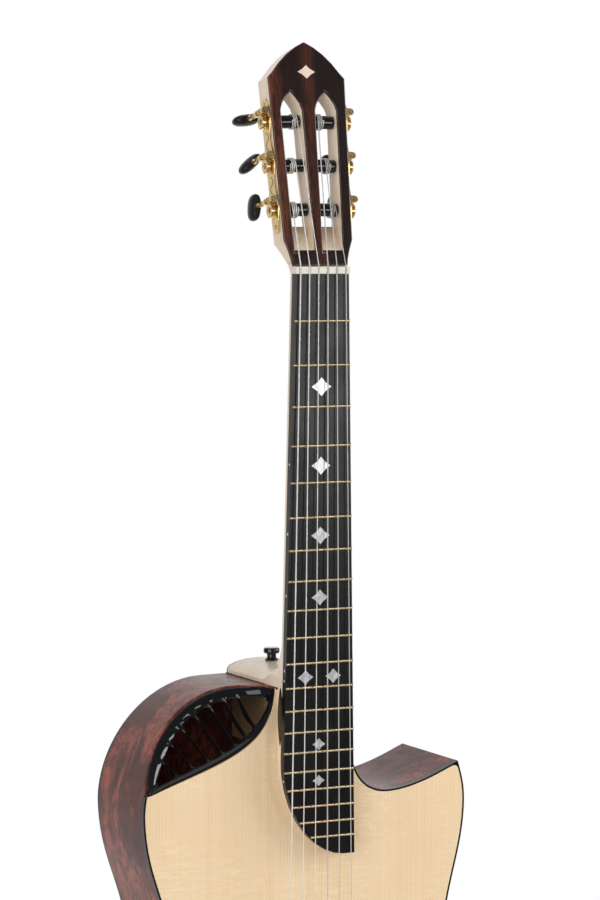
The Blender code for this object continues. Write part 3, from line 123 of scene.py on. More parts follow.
class GuitarSizes(PropertyGroup):
    fret_half: length("Fret half width", "Half the width of a fret's crown", 0.00116)
    fret_height: length("Fret height", "Crown above the board", 0.00112)
    marker_width: length("Marker width", "Breadth of the large position markers", 0.0170)
    marker_rise: length("Marker rise", "How far an inlay stands above the wood", 0.00006)
    head_inlay: length("Head inlay", "Breadth of the lozenge on the head", 0.0150)
    edge_round: length("Edge rounding", "Rounding of the head's face edges", 0.00110)
    screw_radius: length("Screw radius", "Head of the plates' small screws", 0.0017)
    gear_screw_radius: length("Gear screw radius", "Head of the screw in each gear", 0.0026)
    scroll_line: length("Scroll line", "Half the width of an engraved line", 0.00032)
    side_dot: length("Side dot", "Radius of a dot on the board's edge", 0.0010)
    string_sides: IntProperty(name="String smoothness", description="Steps round a string",
                              default=2, min=1, max=6)


class GuitarColours(PropertyGroup):
    spruce: tint("Spruce", "Soundboard between its grain lines", (0.92, 0.720, 0.470))
    spruce_line: tint("Spruce grain", "Soundboard's grain lines", (0.72, 0.480, 0.260))
    burl: tint("Burl", "Reddish wood of sides and back", (0.320, 0.086, 0.058))
    burl_dark: tint("Burl shade", "Smoky patches of sides and back", (0.060, 0.022, 0.019))
    rosewood: tint("Rosewood", "Head veneer's light streaks", (0.130, 0.036, 0.017))
    rosewood_dark: tint("Rosewood shade", "Head veneer's dark wood", (0.010, 0.005, 0.0045))
    maple: tint("Maple", "Neck, heel and head", (0.87, 0.740, 0.590))
    maple_line: tint("Maple grain", "Neck's grain and flecks", (0.72, 0.550, 0.400))
    ebony: tint("Ebony", "Board and bridge", (0.0030, 0.0026, 0.0026))
    ebony_line: tint("Ebony grain", "Board's and bridge's pores", (0.0095, 0.0080, 0.0078))
    lacquer: tint("Black lacquer", "Port, rollers and pins", (0.0045, 0.0045, 0.0055))
    bone: tint("Bone", "Nut and saddle", (0.78, 0.74, 0.64))
    gold: tint("Gold", "Tuning machines", (0.92, 0.690, 0.340))
    fret_metal: tint("Fret metal", "Frets", (0.66, 0.500, 0.300))
    nylon: tint("Nylon", "Treble strings", (0.72, 0.72, 0.71))
    winding: tint("Winding", "Bass strings", (0.90, 0.88, 0.86))
    brace: tint("Brace wood", "Braces, linings and blocks", (0.340, 0.210, 0.110))
    button: tint("Button", "Black wood of the buttons", (0.0080, 0.0075, 0.0075))
    pearl: tint("Pearl", "Position markers", (0.54, 0.57, 0.58))
    floor: tint("Floor", "Floor round the guitar", (0.90, 0.90, 0.90))


class GuitarStage(PropertyGroup):
    camera_place: FloatVectorProperty(
        name="Camera", description="Camera's place", size=3, subtype="TRANSLATION",
        unit="LENGTH", default=(-0.9515, -2.0641, -0.0151))
    camera_turn: FloatVectorProperty(
        name="Camera turn", description="Camera's angles", size=3, subtype="EULER",
        unit="ROTATION", default=(1.516811, 0.007894, -0.426792))
    lens: FloatProperty(name="Lens", description="Focal length in millimetres", default=115.83,
                        min=20.0, max=300.0, subtype="DISTANCE_CAMERA")
    key: power("Key light", "Soft lamp on the bass side", 37.0)
    fill: power("Fill light", "Soft lamp on the treble side", 31.0)
    front: power("Front light", "Tall lamp that the board reflects", 5.0)
    top: power("Top light", "Soft lamp overhead", 3.0)
    room: FloatProperty(name="Room light", description="Even light from all round", default=0.42,
                        min=0.0, max=2.0)


# Nodes

def feed(node, inputs):
    """Give a node's inputs values, or wire them to other nodes' outputs."""
    for key, value in inputs.items():
        if isinstance(value, NodeSocket):
            node.id_data.links.new(value, node.inputs[key])
        else:
            node.inputs[key].default_value = value


def new_node(kind, inputs):
    """A node in the tree of the outputs that are wired to it."""
    tree = next(value.id_data for value in inputs.values() if isinstance(value, NodeSocket))
    return tree.nodes.new("ShaderNode" + kind)


def add(kind, inputs, **settings):
    """Outputs of a new node with these inputs and settings."""
    made = new_node(kind, inputs)
    for key, value in settings.items():
        setattr(made, key, value)
    feed(made, inputs)
    return made.outputs


def mix(factor, first, second, blend="MIX"):
    """Colour between two colours."""
    return add("Mix", {0: factor, 6: first, 7: second}, data_type="RGBA", blend_type=blend)[2]


def between(factor, first, second):
    """Value between two values."""
    return add("Mix", {0: factor, 2: first, 3: second}, data_type="FLOAT")[0]


def maths(operation, first, second=0.0, clamp=False):
    return add("Math", {0: first, 1: second}, operation=operation, use_clamp=clamp)[0]


def times(first, second):
    return maths("MULTIPLY", first, second)


def spread(value, low, high, start=0.0, end=1.0):
    """A value mapped from one span to another, held at its ends."""
    return add("MapRange", {"Value": value, "From Min": low, "From Max": high,
                            "To Min": start, "To Max": end})["Result"]


def axis(place, name):
    return add("SeparateXYZ", {0: place})[name]


def clouds(vector, scale, detail=3.0, distortion=0.0):
    """Noise of one scale, or stretched along the axes by three of them."""
    if isinstance(scale, tuple):
        vector = add("Mapping", {"Vector": vector, "Scale": scale})["Vector"]
        scale = 1.0
    return add("TexNoise", {"Vector": vector, "Scale": scale, "Detail": detail,
                            "Distortion": distortion})["Fac"]


def new_group(name, inputs, output, numbers=()):
    """An empty shader group with named sockets, its inputs and its output node.

    Inputs and the two outputs are (name, kind) pairs, and numbers are more inputs with defaults.
    """
    group = bpy.data.node_groups.new(name, "ShaderNodeTree")
    socket = group.interface.new_socket
    for title, kind in inputs:
        socket(name=title, in_out="INPUT", socket_type="NodeSocket" + kind)
    for title, default in numbers:
        socket(name=title, in_out="INPUT", socket_type="NodeSocketFloat").default_value = default
    for title, kind in (output, ("Height", "Float")):
        socket(name=title, in_out="OUTPUT", socket_type="NodeSocket" + kind)
    return group, group.nodes.new("NodeGroupInput").outputs, group.nodes.new("NodeGroupOutput")


TWO_TONES = (("Vector", "Vector"), ("Light", "Color"), ("Dark", "Color"))


def grain_group():
    """Long straight wood fibres and pores, along Z."""
    group, given, end = new_group("Wood Fibres", TWO_TONES, ("Color", "Color"),
                                  (("Fineness", 400.0), ("Length", 0.03), ("Contrast", 1.0)))
    along = times(given["Fineness"], given["Length"])
    scale = add("CombineXYZ", {"X": given["Fineness"], "Y": given["Fineness"], "Z": along})
    fine = add("VectorMath", {0: given["Vector"], 1: scale[0]}, operation="MULTIPLY")[0]
    fibres = clouds(fine, 1.0, 4.0, 0.3)
    bands = clouds(fine, 0.16, 2.0, 0.5)
    both = maths("ADD", times(fibres, 0.55), times(bands, 0.45))
    centred = maths("SUBTRACT", spread(both, 0.36, 0.62), 0.5)
    mask = maths("ADD", times(centred, given["Contrast"]), 0.5, True)
    feed(end, {"Color": mix(mask, given["Dark"], given["Light"]), "Height": fibres})
    return group


def handling_group():
    """Roughness of a surface that hands and cloths have touched, with dust and fine rubbing."""
    group, given, end = new_group("Handled Gloss", TWO_TONES[:1], ("Roughness", "Float"),
                                  (("Polished", 0.1), ("Rubbed", 0.3)))
    smears = clouds(given["Vector"], 22.0, 4.0, 0.8)
    scratches = clouds(given["Vector"], (900.0, 900.0, 60.0), 2.0)
    both = times(spread(smears, 0.35, 0.7), spread(scratches, 0.4, 0.75, 0.6, 1.0))
    feed(end, {"Roughness": between(both, given["Polished"], given["Rubbed"]),
               "Height": scratches})
    return group


def burl_group():
    """Cloudy dark figure and curled fibres of burl wood."""
    group, given, end = new_group("Burl Figure", TWO_TONES, ("Color", "Color"))
    drift = add("Mapping", {"Vector": given["Vector"], "Scale": (1.0, 1.0, 0.55)})[0]
    patches = clouds(drift, 17.0, 6.0, 2.0)
    curls = clouds(drift, 62.0, 6.0, 3.2)
    fibres = clouds(given["Vector"], (420.0, 420.0, 60.0), 3.0, 1.0)
    dark = maths("ADD", spread(patches, 0.42, 0.58), 0.22)
    both = times(dark, spread(curls, 0.40, 0.62, 0.22, 1.0))
    thin = times(both, spread(fibres, 0.3, 0.65, 0.72, 1.08))
    mask = maths("MINIMUM", thin, 1.0)
    feed(end, {"Color": mix(mask, given["Dark"], given["Light"]), "Height": fibres})
    return group


GROUPS = {"Wood Fibres": grain_group, "Handled Gloss": handling_group, "Burl Figure": burl_group}


def use(name, **inputs):
    """Outputs of a shared group, built the first time it is asked for."""
    shared = bpy.data.node_groups.get(name) or GROUPS[name]()
    return add("Group", inputs, node_tree=shared)


# Finishes

def rgba(colour, share=1.0):
    return tuple(c * share for c in colour) + (1.0,)


def grey(level):
    return (level, level, level, 1.0)


def blank(name):
    """A material with its shader and the piece's own coordinates."""
    finish = bpy.data.materials.new("guitar_" + name)
    finish.use_nodes = True
    nodes = finish.node_tree.nodes
    return finish, nodes["Principled BSDF"], nodes.new("ShaderNodeTexCoord").outputs["Object"]


def ramp(factor, ends, stops):
    """A colour ramp with its first and last colour and the stops between them."""
    made = new_node("ValToRGB", {"Fac": factor})
    feed(made, {"Fac": factor})
    elements = made.color_ramp.elements
    elements[0].color, elements[1].color = ends
    for spot, colour in stops:
        elements.new(spot).color = colour
    return made.outputs["Color"]


def surface(shader, place, colour, gloss, bump, specular=0.5, coat=(0.0, 0.03), metallic=0.0):
    """Colour, roughness, relief, specular and coat of a finish.

    The gloss is a polished and a rubbed roughness, and the bump a distance, a strength and a
    height, which is that of the rubbing unless the finish has one of its own.
    """
    handled = use("Handled Gloss", Vector=place, Polished=gloss[0], Rubbed=gloss[1])
    feed(shader, {"Base Color": colour, "Roughness": handled["Roughness"],
                  "Specular IOR Level": specular, "Coat Weight": coat[0],
                  "Coat Roughness": coat[1], "Metallic": metallic})
    if bump:
        distance, strength, *height = bump
        height = height[0] if height else handled["Height"]
        relief = add("Bump", {"Height": height, "Distance": distance, "Strength": strength})
        feed(shader, {"Normal": relief["Normal"]})


def straight_wood(shader, place, colours, light, dark, fibres, gloss, depth, *shine):
    """Plain grain: two colours with their shares, and fibres of a fineness, length and contrast."""
    light, dark = (rgba(getattr(colours, name), share) for name, share in (light, dark))
    fineness, run, contrast = fibres
    wood = use("Wood Fibres", Vector=place, Light=light, Dark=dark, Fineness=fineness,
               Length=run, Contrast=contrast)
    surface(shader, place, wood["Color"], gloss, (depth, 0.4, wood["Height"]), *shine)


def spruce(shader, place, colours):
    """Fine year rings along the top, with silk across them."""
    waver = clouds(place, (9.0, 1.0, 1.2), 2.0)
    shifted = maths("ADD", axis(place, "X"), times(waver, 0.012))
    rings = maths("SINE", times(shifted, 5100.0))
    strength = clouds(place, (210.0, 1.0, 2.0), 3.0)
    lines = times(spread(rings, 0.1, 1.0), spread(strength, 0.3, 0.6, 0.45, 1.0))
    wood = mix(lines, rgba(colours.spruce), rgba(colours.spruce_line))
    broad = clouds(place, (24.0, 1.0, 0.7), 2.0)
    tone = mix(spread(broad, 0.35, 0.65), (0.95, 0.935, 0.90, 1.0), grey(1.0))
    wood = mix(1.0, wood, tone, "MULTIPLY")
    silk = clouds(place, (70.0, 1.0, 430.0), 3.0, 0.6)
    patch = clouds(place, (14.0, 1.0, 11.0), 2.0)
    silk = times(spread(silk, 0.45, 0.7), spread(patch, 0.42, 0.62))
    wood = mix(times(silk, 0.8), wood, rgba(colours.spruce, 1.06))
    surface(shader, place, wood, (0.24, 0.38), (0.00002, 0.25, lines), coat=(0.35, 0.12))


def burl(shader, place, colours):
    wood = use("Burl Figure", Vector=place, Light=rgba(colours.burl), Dark=rgba(colours.burl_dark))
    surface(shader, place, wood["Color"], (0.22, 0.36), (0.00003, 0.25, wood["Height"]), 0.10,
            (0.06, 0.30))


def rosewood(shader, place, colours):
    """Dark veneer with a red-brown band at its bass edge and up its middle."""
    waver = clouds(place, (60.0, 1.0, 9.0), 2.0)
    across = maths("ADD", axis(place, "X"), times(waver, 0.007))
    levels = ((0.10, 0.95), (0.20, 0.12), (0.38, 0.05), (0.48, 0.55), (0.56, 0.45), (0.63, 0.05))
    bands = ramp(spread(across, -0.0305, 0.0375), (grey(0.85), grey(0.05)),
                 [(spot, grey(level)) for spot, level in levels])
    fibres = use("Wood Fibres", Vector=place, Light=grey(1.0), Dark=grey(0.15), Fineness=620.0,
                 Length=0.02, Contrast=1.2)
    streak = mix(1.0, bands, fibres["Color"], "MULTIPLY")
    wood = mix(streak, rgba(colours.rosewood_dark), rgba(colours.rosewood))
    surface(shader, place, wood, (0.20, 0.34), (0.00003, 0.3, fibres["Height"]), 0.3, (0.6, 0.06))


def black_gloss(shader, place, colours):
    haze = clouds(place, 60.0)
    colour = mix(haze, rgba(colours.lacquer, 0.8), rgba(colours.lacquer, 1.6))
    surface(shader, place, colour, (0.05, 0.13), (0.000004, 0.2), 0.3, (0.5, 0.03))


def bone(shader, place, colours):
    streaks = clouds(place, (120.0, 500.0, 500.0))
    colour = mix(spread(streaks, 0.35, 0.7), rgba(colours.bone), rgba(colours.bone, 0.88))
    surface(shader, place, colour, (0.30, 0.45), (0.00002, 0.3, streaks))


def metal(shader, place, colours, name, gloss, tarnish):
    """A plated metal, a little darker and duller where it has been touched."""
    spots = clouds(place, 190.0, 4.0, 0.4)
    colour = getattr(colours, name)
    tone = mix(spread(spots, 0.42, 0.75), rgba(colour), rgba(colour, tarnish))
    surface(shader, place, tone, gloss, (0.000006, 0.25), metallic=1.0)


def nylon(shader, place, colours):
    haze = clouds(place, (300.0, 300.0, 25.0), 2.0)
    tone = mix(haze, rgba(colours.nylon, 0.86), rgba(colours.nylon, 1.05))
    surface(shader, place, tone, (0.12, 0.24), None)
    feed(shader, {"Transmission Weight": 0.35})


def wound(shader, place, colours):
    """Silvered wire wrapped round a core, seen as fine rings along the string, with painted shade in
    the grooves between the turns.
    """
    wrap = maths("SINE", times(axis(place, "Z"), 21000.0))
    # Painted shade: the colour darkens to 0.72 in the grooves between the wire's turns, where the
    # relief is low.
    tone = mix(spread(wrap, -1.0, 1.0), rgba(colours.winding, 0.72), rgba(colours.winding))
    surface(shader, place, tone, (0.24, 0.38), (0.00003, 0.5, wrap), metallic=0.45)


def pearl(shader, place, colours):
    """Shell that turns from cream to blue in curled layers."""
    layers = clouds(place, (130.0, 40.0, 70.0), 4.0, 2.5)
    hues = ramp(spread(layers, 0.3, 0.7), ((0.36, 0.52, 0.60, 1.0), (0.90, 0.86, 0.76, 1.0)),
                [(0.45, rgba(colours.pearl)), (0.62, (0.74, 0.62, 0.68, 1.0))])
    surface(shader, place, hues, (0.12, 0.24), (0.00002, 0.3, layers), metallic=0.25)


MAKERS = {
    "spruce": (spruce,), "burl": (burl,), "rosewood": (rosewood,), "black_gloss": (black_gloss,),
    "bone": (bone,), "nylon": (nylon,), "wound": (wound,), "pearl": (pearl,),
    "maple": (straight_wood, ("maple", 1.0), ("maple_line", 1.0), (260.0, 0.03, 0.75),
              (0.24, 0.38), 0.00002, 0.35, (0.25, 0.22)),
    "ebony": (straight_wood, ("ebony_line", 1.0), ("ebony", 1.0), (900.0, 0.012, 0.9),
              (0.22, 0.34), 0.00004, 0.35),
    "brace_wood": (straight_wood, ("brace", 1.0), ("brace", 0.78), (500.0, 0.02, 1.0),
                   (0.55, 0.7), 0.00005),
    "button_black": (straight_wood, ("button", 2.4), ("button", 1.0), (700.0, 0.05, 1.0),
                     (0.26, 0.40), 0.00004, 0.3),
    # Painted shade: near-black lines that stand in for the shade inside the plates' engraved grooves.
    "engraving": (straight_wood, ("gold", 0.030), ("gold", 0.012), (900.0, 0.2, 1.0),
                  (0.5, 0.7), 0.00001),
    "brass": (metal, "gold", (0.20, 0.34), 0.80),
    "fret_metal": (metal, "fret_metal", (0.16, 0.30), 0.85),
}


def finish_named(name):
    """A finish of this guitar, made the first time it is asked for."""
    finish = bpy.data.materials.get("guitar_" + name)
    if not finish:
        finish, shader, place = blank(name)
        maker, *values = MAKERS[name]
        maker(shader, place, bpy.context.scene.guitar_colours, *values)
    return finish


# Modelling helpers

def deselect():
    bpy.ops.object.select_all(action="DESELECT")


def activate(piece):
    deselect()
    piece.select_set(True)
    bpy.context.view_layer.objects.active = piece


def named(piece, name):
    piece.name = name
    piece.data.name = name
    return piece


def settle(name):
    """Name the piece just added and put its place, turn and size into its mesh."""
    piece = named(bpy.context.object, name)
    piece.data.transform(piece.matrix_basis)
    piece.matrix_basis = Matrix.Identity(4)
    return piece


def new_piece(name, data):
    """A new piece of this mesh or curve, the only one selected."""
    piece = named(bpy.data.objects.new(name, data), name)
    bpy.context.scene.collection.objects.link(piece)
    activate(piece)
    return piece


def pick(piece, test=None, kind="FACE"):
    """Go into edit mode with all faces, edges or corners selected, or those that pass a test."""
    activate(piece)
    bpy.ops.object.mode_set(mode="EDIT")
    bpy.ops.mesh.select_mode(type=kind)
    bpy.ops.mesh.select_all(action="DESELECT")
    bpy.ops.object.mode_set(mode="OBJECT")
    mesh = piece.data
    parts = {"VERT": mesh.vertices, "EDGE": mesh.edges, "FACE": mesh.polygons}[kind]
    for part in parts:
        part.select = not test or test(part)
    bpy.ops.object.mode_set(mode="EDIT")


def leave():
    bpy.ops.object.mode_set(mode="OBJECT")


def face_out():
    """Turn every face of the piece in edit mode outwards, and leave it."""
    bpy.ops.mesh.select_all(action="SELECT")
    bpy.ops.mesh.normals_make_consistent(inside=False)
    leave()


def facing(direction, least=0.95):
    """A test for faces that look a given way."""
    aim = Vector(direction).normalized()
    return lambda face: face.normal.dot(aim) > least


def turned(name, steps, sides=32):
    """A closed round piece about Z, drawn out of a short cone through (height, radius) steps."""
    (low, first), (high, second) = steps[:2]
    bpy.ops.mesh.primitive_cone_add(vertices=sides, radius1=first, radius2=second,
                                    depth=high - low, location=(0.0, 0.0, (low + high) / 2))
    piece = settle(name)
    pick(piece, facing((0.0, 0.0, 1.0), 0.99))
    for height, radius in steps[2:]:
        bpy.ops.mesh.extrude_region_move(TRANSFORM_OT_translate={"value": (0.0, 0.0, height - high)})
        share = radius / second
        bpy.ops.transform.resize(value=(share, share, 1.0), center_override=(0.0, 0.0, height))
        high, second = height, radius
    leave()
    return piece


def changed(piece, kind, **settings):
    """A piece with a modifier of this kind applied."""
    activate(piece)
    change = piece.modifiers.new(kind.capitalize(), kind)
    for key, value in settings.items():
        setattr(change, key, value)
    bpy.ops.object.modifier_apply(modifier=change.name)
    return piece


def rounded(piece, width, angle=30.0):
    """Round every edge sharper than an angle."""
    return changed(piece, "BEVEL", limit_method="ANGLE", angle_limit=radians(angle),
                   width=width, segments=2)


def smoothed(piece, levels=2):
    return changed(piece, "SUBSURF", levels=levels, render_levels=levels)


def copied(piece, name, place):
    """The same piece again in another place, with its own mesh."""
    twin = new_piece(name, piece.data.copy())
    twin.data.transform(place)
    return twin


def discard(piece):
    bpy.data.objects.remove(piece, do_unlink=True)


def joined(pieces, name):
    deselect()
    for piece in pieces:
        piece.select_set(True)
    bpy.context.view_layer.objects.active = pieces[0]
    bpy.ops.object.join()
    return named(pieces[0], name)


def scattered(piece, name, places):
    """Copies of one piece in several places, as a piece of their own."""
    return joined([copied(piece, name, place) for place in places], name)


def worked_copy(node, name, quads=True):
    """A CAD node's shape as a new piece, its loose triangles merged and joined into flats."""
    piece = new_piece(name, NODES[node].data.copy())
    bpy.ops.mesh.customdata_custom_splitnormals_clear()
    pick(piece, kind="VERT")
    bpy.ops.mesh.remove_doubles(threshold=0.000003)
    if quads:
        bpy.ops.mesh.tris_convert_to_quads(face_threshold=radians(60.0), shape_threshold=radians(60.0))
    else:
        bpy.ops.mesh.dissolve_limited(angle_limit=radians(0.6))
    face_out()
    return piece


def dressed(piece, finish, angle=35.0, body="root", slot=None, replaced=None):
    """Finish, smooth and seat a piece, and let it stand for a CAD node if one is named."""
    piece.data.materials.clear()
    piece.data.materials.append(finish_named(finish))
    activate(piece)
    bpy.ops.object.shade_smooth_by_angle(angle=radians(angle))
    changed(piece, "WEIGHTED_NORMAL", keep_sharp=True)
    slot = slot or finish
    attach(piece, body)
    if replaced:
        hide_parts(replaced)


def sizes():
    return bpy.context.scene.guitar_sizes


# Places

def board_half(z):
    return (NUT_BREADTH + (BODY_BREADTH - NUT_BREADTH) * -z / (SCALE / 2)) / 2


def board_left(z):
    """The board's bass edge, with its curve across to the treble end."""
    start, end = BOARD_CURVE
    if -z <= start:
        return -board_half(z)
    share = min((-z - start) / (end - start), 1.0)
    swing = 1 - (1 - share ** BOARD_CURVE_SHAPE) ** (1 / BOARD_CURVE_SHAPE)
    left, right = -board_half(z), board_half(z) - BOARD_TIP
    return left + (right - left) * swing


def fret_place(number):
    return -SCALE * (1 - 2 ** (-number / 12))


def head_half(z):
    return HEAD_HALF + (z - HEAD_FLARE) * tan(HEAD_TAPER)


def strip_half(z):
    low, high = STRIP_HALF
    return low + (high - low) * (z - SLOT_FOOT) / (SLOT_SPRING - SLOT_FOOT)


def side_frame(side, z):
    """A frame on the head's side: X out of the treble side, Y back, Z up the side."""
    place = at(side * head_half(z), ROLLER_DEPTH, z)
    return HEAD @ place @ Matrix.Rotation(side * HEAD_TAPER, 4, "Y")


def outward(side):
    """Turn from Z to the way out of the head's side."""
    return ON_AXIS_X if side > 0 else ON_AXIS_X.inverted()


def tuners():
    """(number, side, roller height); 1 to 3 up the bass side, 4 to 6 up the treble side."""
    return [(3 * (side > 0) + level + 1, side, LOWEST_ROLLER + level * ROLLER_SPACING)
            for side in (-1, 1) for level in range(3)]


# Strings

STRING_RADII = (0.00056, 0.00046, 0.00038, 0.00052, 0.00042, 0.00037)
SADDLE_SPREAD = 0.0575  # across the six strings, at the saddle
NUT_SPREAD = 0.0390
TURNS = 3
TURN_POINTS = 24
TURN_PLACES = (0.0185, 0.0130, 0.0090)  # off the middle, by the roller's level
SADDLE_FRONT = 0.0014
BLOCK_BACK = -0.0215  # tie block's rear face from the saddle's middle
BLOCK_FRONT = -0.0095
HOLE_Y = 0.0095
BLOCK_TOP_Y = 0.0072


def string_x(k, breadth):
    return (k - 2.5) / 5 * breadth


def string_height(z, radius):
    return -(0.0016 + 0.0029 / (SCALE / 2) * -z + radius)


def string_finish(k):
    return "wound" if k < 3 else "nylon"


def winding(k, radius, start):
    """A string's turns round its roller, from the point where it meets the roller's front."""
    level = min(k, 5 - k)
    side = -1 if k < 3 else 1
    z = LOWEST_ROLLER + level * ROLLER_SPACING
    place = side_frame(side, z)
    local = place.inverted() @ start
    reach = ROLLER_RADIUS + GAP + radius
    toward = atan2(local.z, local.y)
    swing = acos(reach / hypot(local.y, local.z))
    first = min((toward + swing, toward - swing), key=cos)
    offset = side * (TURN_PLACES[level] - head_half(z))
    step = side * (2 * radius + 0.00055) * (-1 if level == 0 else 1)
    points = []
    for i in range(TURNS * TURN_POINTS + 1):
        turn = i / TURN_POINTS
        angle = first - 2 * pi * turn
        points.append(place @ Vector((offset + step * turn, reach * cos(angle), reach * sin(angle))))
    return points


def tube(name, points, radius, resolution):
    """A round tube along points, as a mesh."""
    data = bpy.data.curves.new(name, "CURVE")
    data.dimensions = "3D"
    data.bevel_depth = radius
    data.bevel_resolution = resolution
    data.use_fill_caps = True
    line = data.splines.new("POLY")
    line.points.add(len(points) - 1)
    for point, place in zip(line.points, points):
        point.co = (*place, 1.0)
    new_piece(name, data)
    bpy.ops.object.convert(target="MESH")
    return bpy.context.object


class GUITAR_OT_strings(Operator):
    """Six strings from the tie block over saddle and nut, wound on their rollers"""
    bl_idname = "guitar.strings"
    bl_label = "Strings"

    def execute(self, context):
        saddle_y = (NECK @ Vector((0.0, string_height(-SCALE, 0.0), -SCALE))).y
        for k, radius in enumerate(STRING_RADII):
            far, near = string_x(k, SADDLE_SPREAD), string_x(k, NUT_SPREAD)
            route = [Vector((far, HOLE_Y, BRIDGE + BLOCK_BACK - 0.003)),
                     Vector((far, HOLE_Y, BRIDGE + BLOCK_FRONT + 0.0008)),
                     Vector((far, saddle_y - radius, BRIDGE - SADDLE_FRONT - 0.0009)),
                     Vector((far, saddle_y - radius, BRIDGE + SADDLE_FRONT)),
                     NECK @ Vector((near, string_height(0.0, radius), 0.0)),
                     NECK @ Vector((near, string_height(0.0, radius), 0.0061))]
            route += winding(k, radius, route[-1])
            string = tube(f"playing_string_{6 - k}", route, radius, sizes().string_sides)
            dressed(string, string_finish(k), 60.0, replaced=f"string_{6 - k}")
        return {"FINISHED"}


class GUITAR_OT_string_ties(Operator):
    """Each string's end, brought back over the tie block and tucked under itself"""
    bl_idname = "guitar.string_ties"
    bl_label = "String ties"

    def execute(self, context):
        for k, radius in enumerate(STRING_RADII):
            x = string_x(k, SADDLE_SPREAD)
            top = BLOCK_TOP_Y - radius
            back = BRIDGE + BLOCK_BACK - radius
            front = BRIDGE + BLOCK_FRONT + radius
            shape = [(0.0, HOLE_Y, back + 0.0006), (0.0, HOLE_Y - 0.0004, back - 0.0010),
                     (0.0, top + 0.0012, back - 0.0010), (0.0002, top, back + 0.0004),
                     (0.0006, top - 0.0001, (back + front) / 2), (0.0010, top, front - 0.0004),
                     (0.0013, top + 0.0008, front + 0.0006), (0.0010, HOLE_Y - 0.0007, front + 0.0009),
                     (-0.0002, HOLE_Y - 0.0016, front + 0.0008),
                     (-0.0014, top + 0.0006, front + 0.0004),
                     (-0.0017, top, front - 0.0010), (-0.0021, top - 0.0001, back + 0.0030)]
            points = [Vector((x + dx, y, z)) for dx, y, z in shape]
            tie = tube(f"string_tie_{6 - k}", points, radius * 0.92, sizes().string_sides)
            dressed(smoothed(tie, 1), string_finish(k), 60.0)
        return {"FINISHED"}


# Board

MARKERS = ((0.0, 0.088, 1.0), (0.0, 0.150, 0.97), (0.0, 0.205, 0.94), (0.0, 0.254, 0.86),
           (-0.012, 0.317, 0.80), (0.012, 0.317, 0.80), (0.0, 0.371, 0.66), (0.0, 0.400, 0.62))
INLAY_DEPTH = 0.012
HEAD_INLAY_PLACE = 0.1605
# Painted shade: the dark lens that stands for this slot is a thin sheet laid on the wall.
SLOT_MIDDLE = -0.3483  # of the slot in the tongue's wall


class GUITAR_OT_frets(Operator):
    """Twenty crowned frets over the board's ridges"""
    bl_idname = "guitar.frets"
    bl_label = "Frets"

    def execute(self, context):
        bpy.ops.mesh.primitive_cylinder_add(vertices=20, radius=1.0, depth=1.0,
                                            rotation=(0.0, pi / 2, 0.0))
        blank_fret = settle("blank_fret")
        pick(blank_fret)
        bpy.ops.mesh.bisect(plane_co=(0.0, 0.0, 0.0), plane_no=(0.0, 1.0, 0.0),
                            clear_outer=True, use_fill=True)
        leave()
        places = []
        for number in range(1, 21):
            z = fret_place(number)
            left = max(board_left(z - 0.001), board_left(z + 0.001)) - 0.0001
            right = board_half(z) + 0.0001
            size = Matrix.Diagonal((right - left, sizes().fret_height, sizes().fret_half, 1.0))
            places.append(NECK @ at((left + right) / 2, 0.0, z) @ size)
        frets = scattered(blank_fret, "frets", places)
        discard(blank_fret)
        dressed(rounded(frets, 0.0003, 70.0), "fret_metal", slot="brass")
        return {"FINISHED"}


def lozenge(name):
    """A flat four-pointed inlay of unit breadth in the X-Z plane, facing forwards."""
    bpy.ops.mesh.primitive_circle_add(vertices=8, radius=0.5, fill_type="NGON",
                                      rotation=(pi / 2, 0.0, 0.0))
    piece = settle(name)
    pick(piece, lambda corner: abs(corner.co.x) > 0.2 and abs(corner.co.z) > 0.2, "VERT")
    bpy.ops.transform.resize(value=(0.62, 1.0, 0.62), center_override=(0.0, 0.0, 0.0))
    leave()
    pick(piece)
    bpy.ops.mesh.extrude_region_move(TRANSFORM_OT_translate={"value": (0.0, 0.02, 0.0)})
    face_out()
    return piece


def inlay_place(base, x, z, breadth, share):
    """A lozenge's place in the board's or the head's face, share as tall as broad."""
    size = Matrix.Diagonal((breadth, INLAY_DEPTH, breadth * share, 1.0))
    return base @ at(x, -sizes().marker_rise, z) @ size


class GUITAR_OT_markers(Operator):
    """Pearl markers in the board, small dots on its bass edge and a pale lozenge on the head"""
    bl_idname = "guitar.markers"
    bl_label = "Position markers"

    def execute(self, context):
        blank_marker = lozenge("blank_marker")
        places = [inlay_place(NECK, x, -along, sizes().marker_width * share, 0.86)
                  for x, along, share in MARKERS]
        dressed(scattered(blank_marker, "position_markers", places), "pearl", 20.0, slot="bone")
        place = inlay_place(HEAD, 0.0, HEAD_INLAY_PLACE, sizes().head_inlay, 0.72)
        blank_marker.data.transform(place)
        blank_marker.name = "head_inlay"
        dressed(blank_marker, "maple", 20.0)
        radius = sizes().side_dot
        blank_dot = turned("blank_dot", [(0.0, radius), (0.0003, radius), (0.00036, radius * 0.8)], 16)
        places = []
        for number, lift in ((5, 0.0), (7, 0.0), (9, 0.0), (12, 0.004), (12, -0.004), (17, 0.0)):
            z = (fret_place(number) + fret_place(number - 1)) / 2 + lift
            places.append(NECK @ at(board_left(z) + 0.00028, 0.0030, z) @ spun(-90.0, "Y"))
        dressed(scattered(blank_dot, "side_dots", places), "pearl", slot="bone")
        discard(blank_dot)
        return {"FINISHED"}


# Head

SCREW_PLACES = ((-0.0485, 35.0), (0.0485, 105.0))  # from the middle roller, and slot's turn


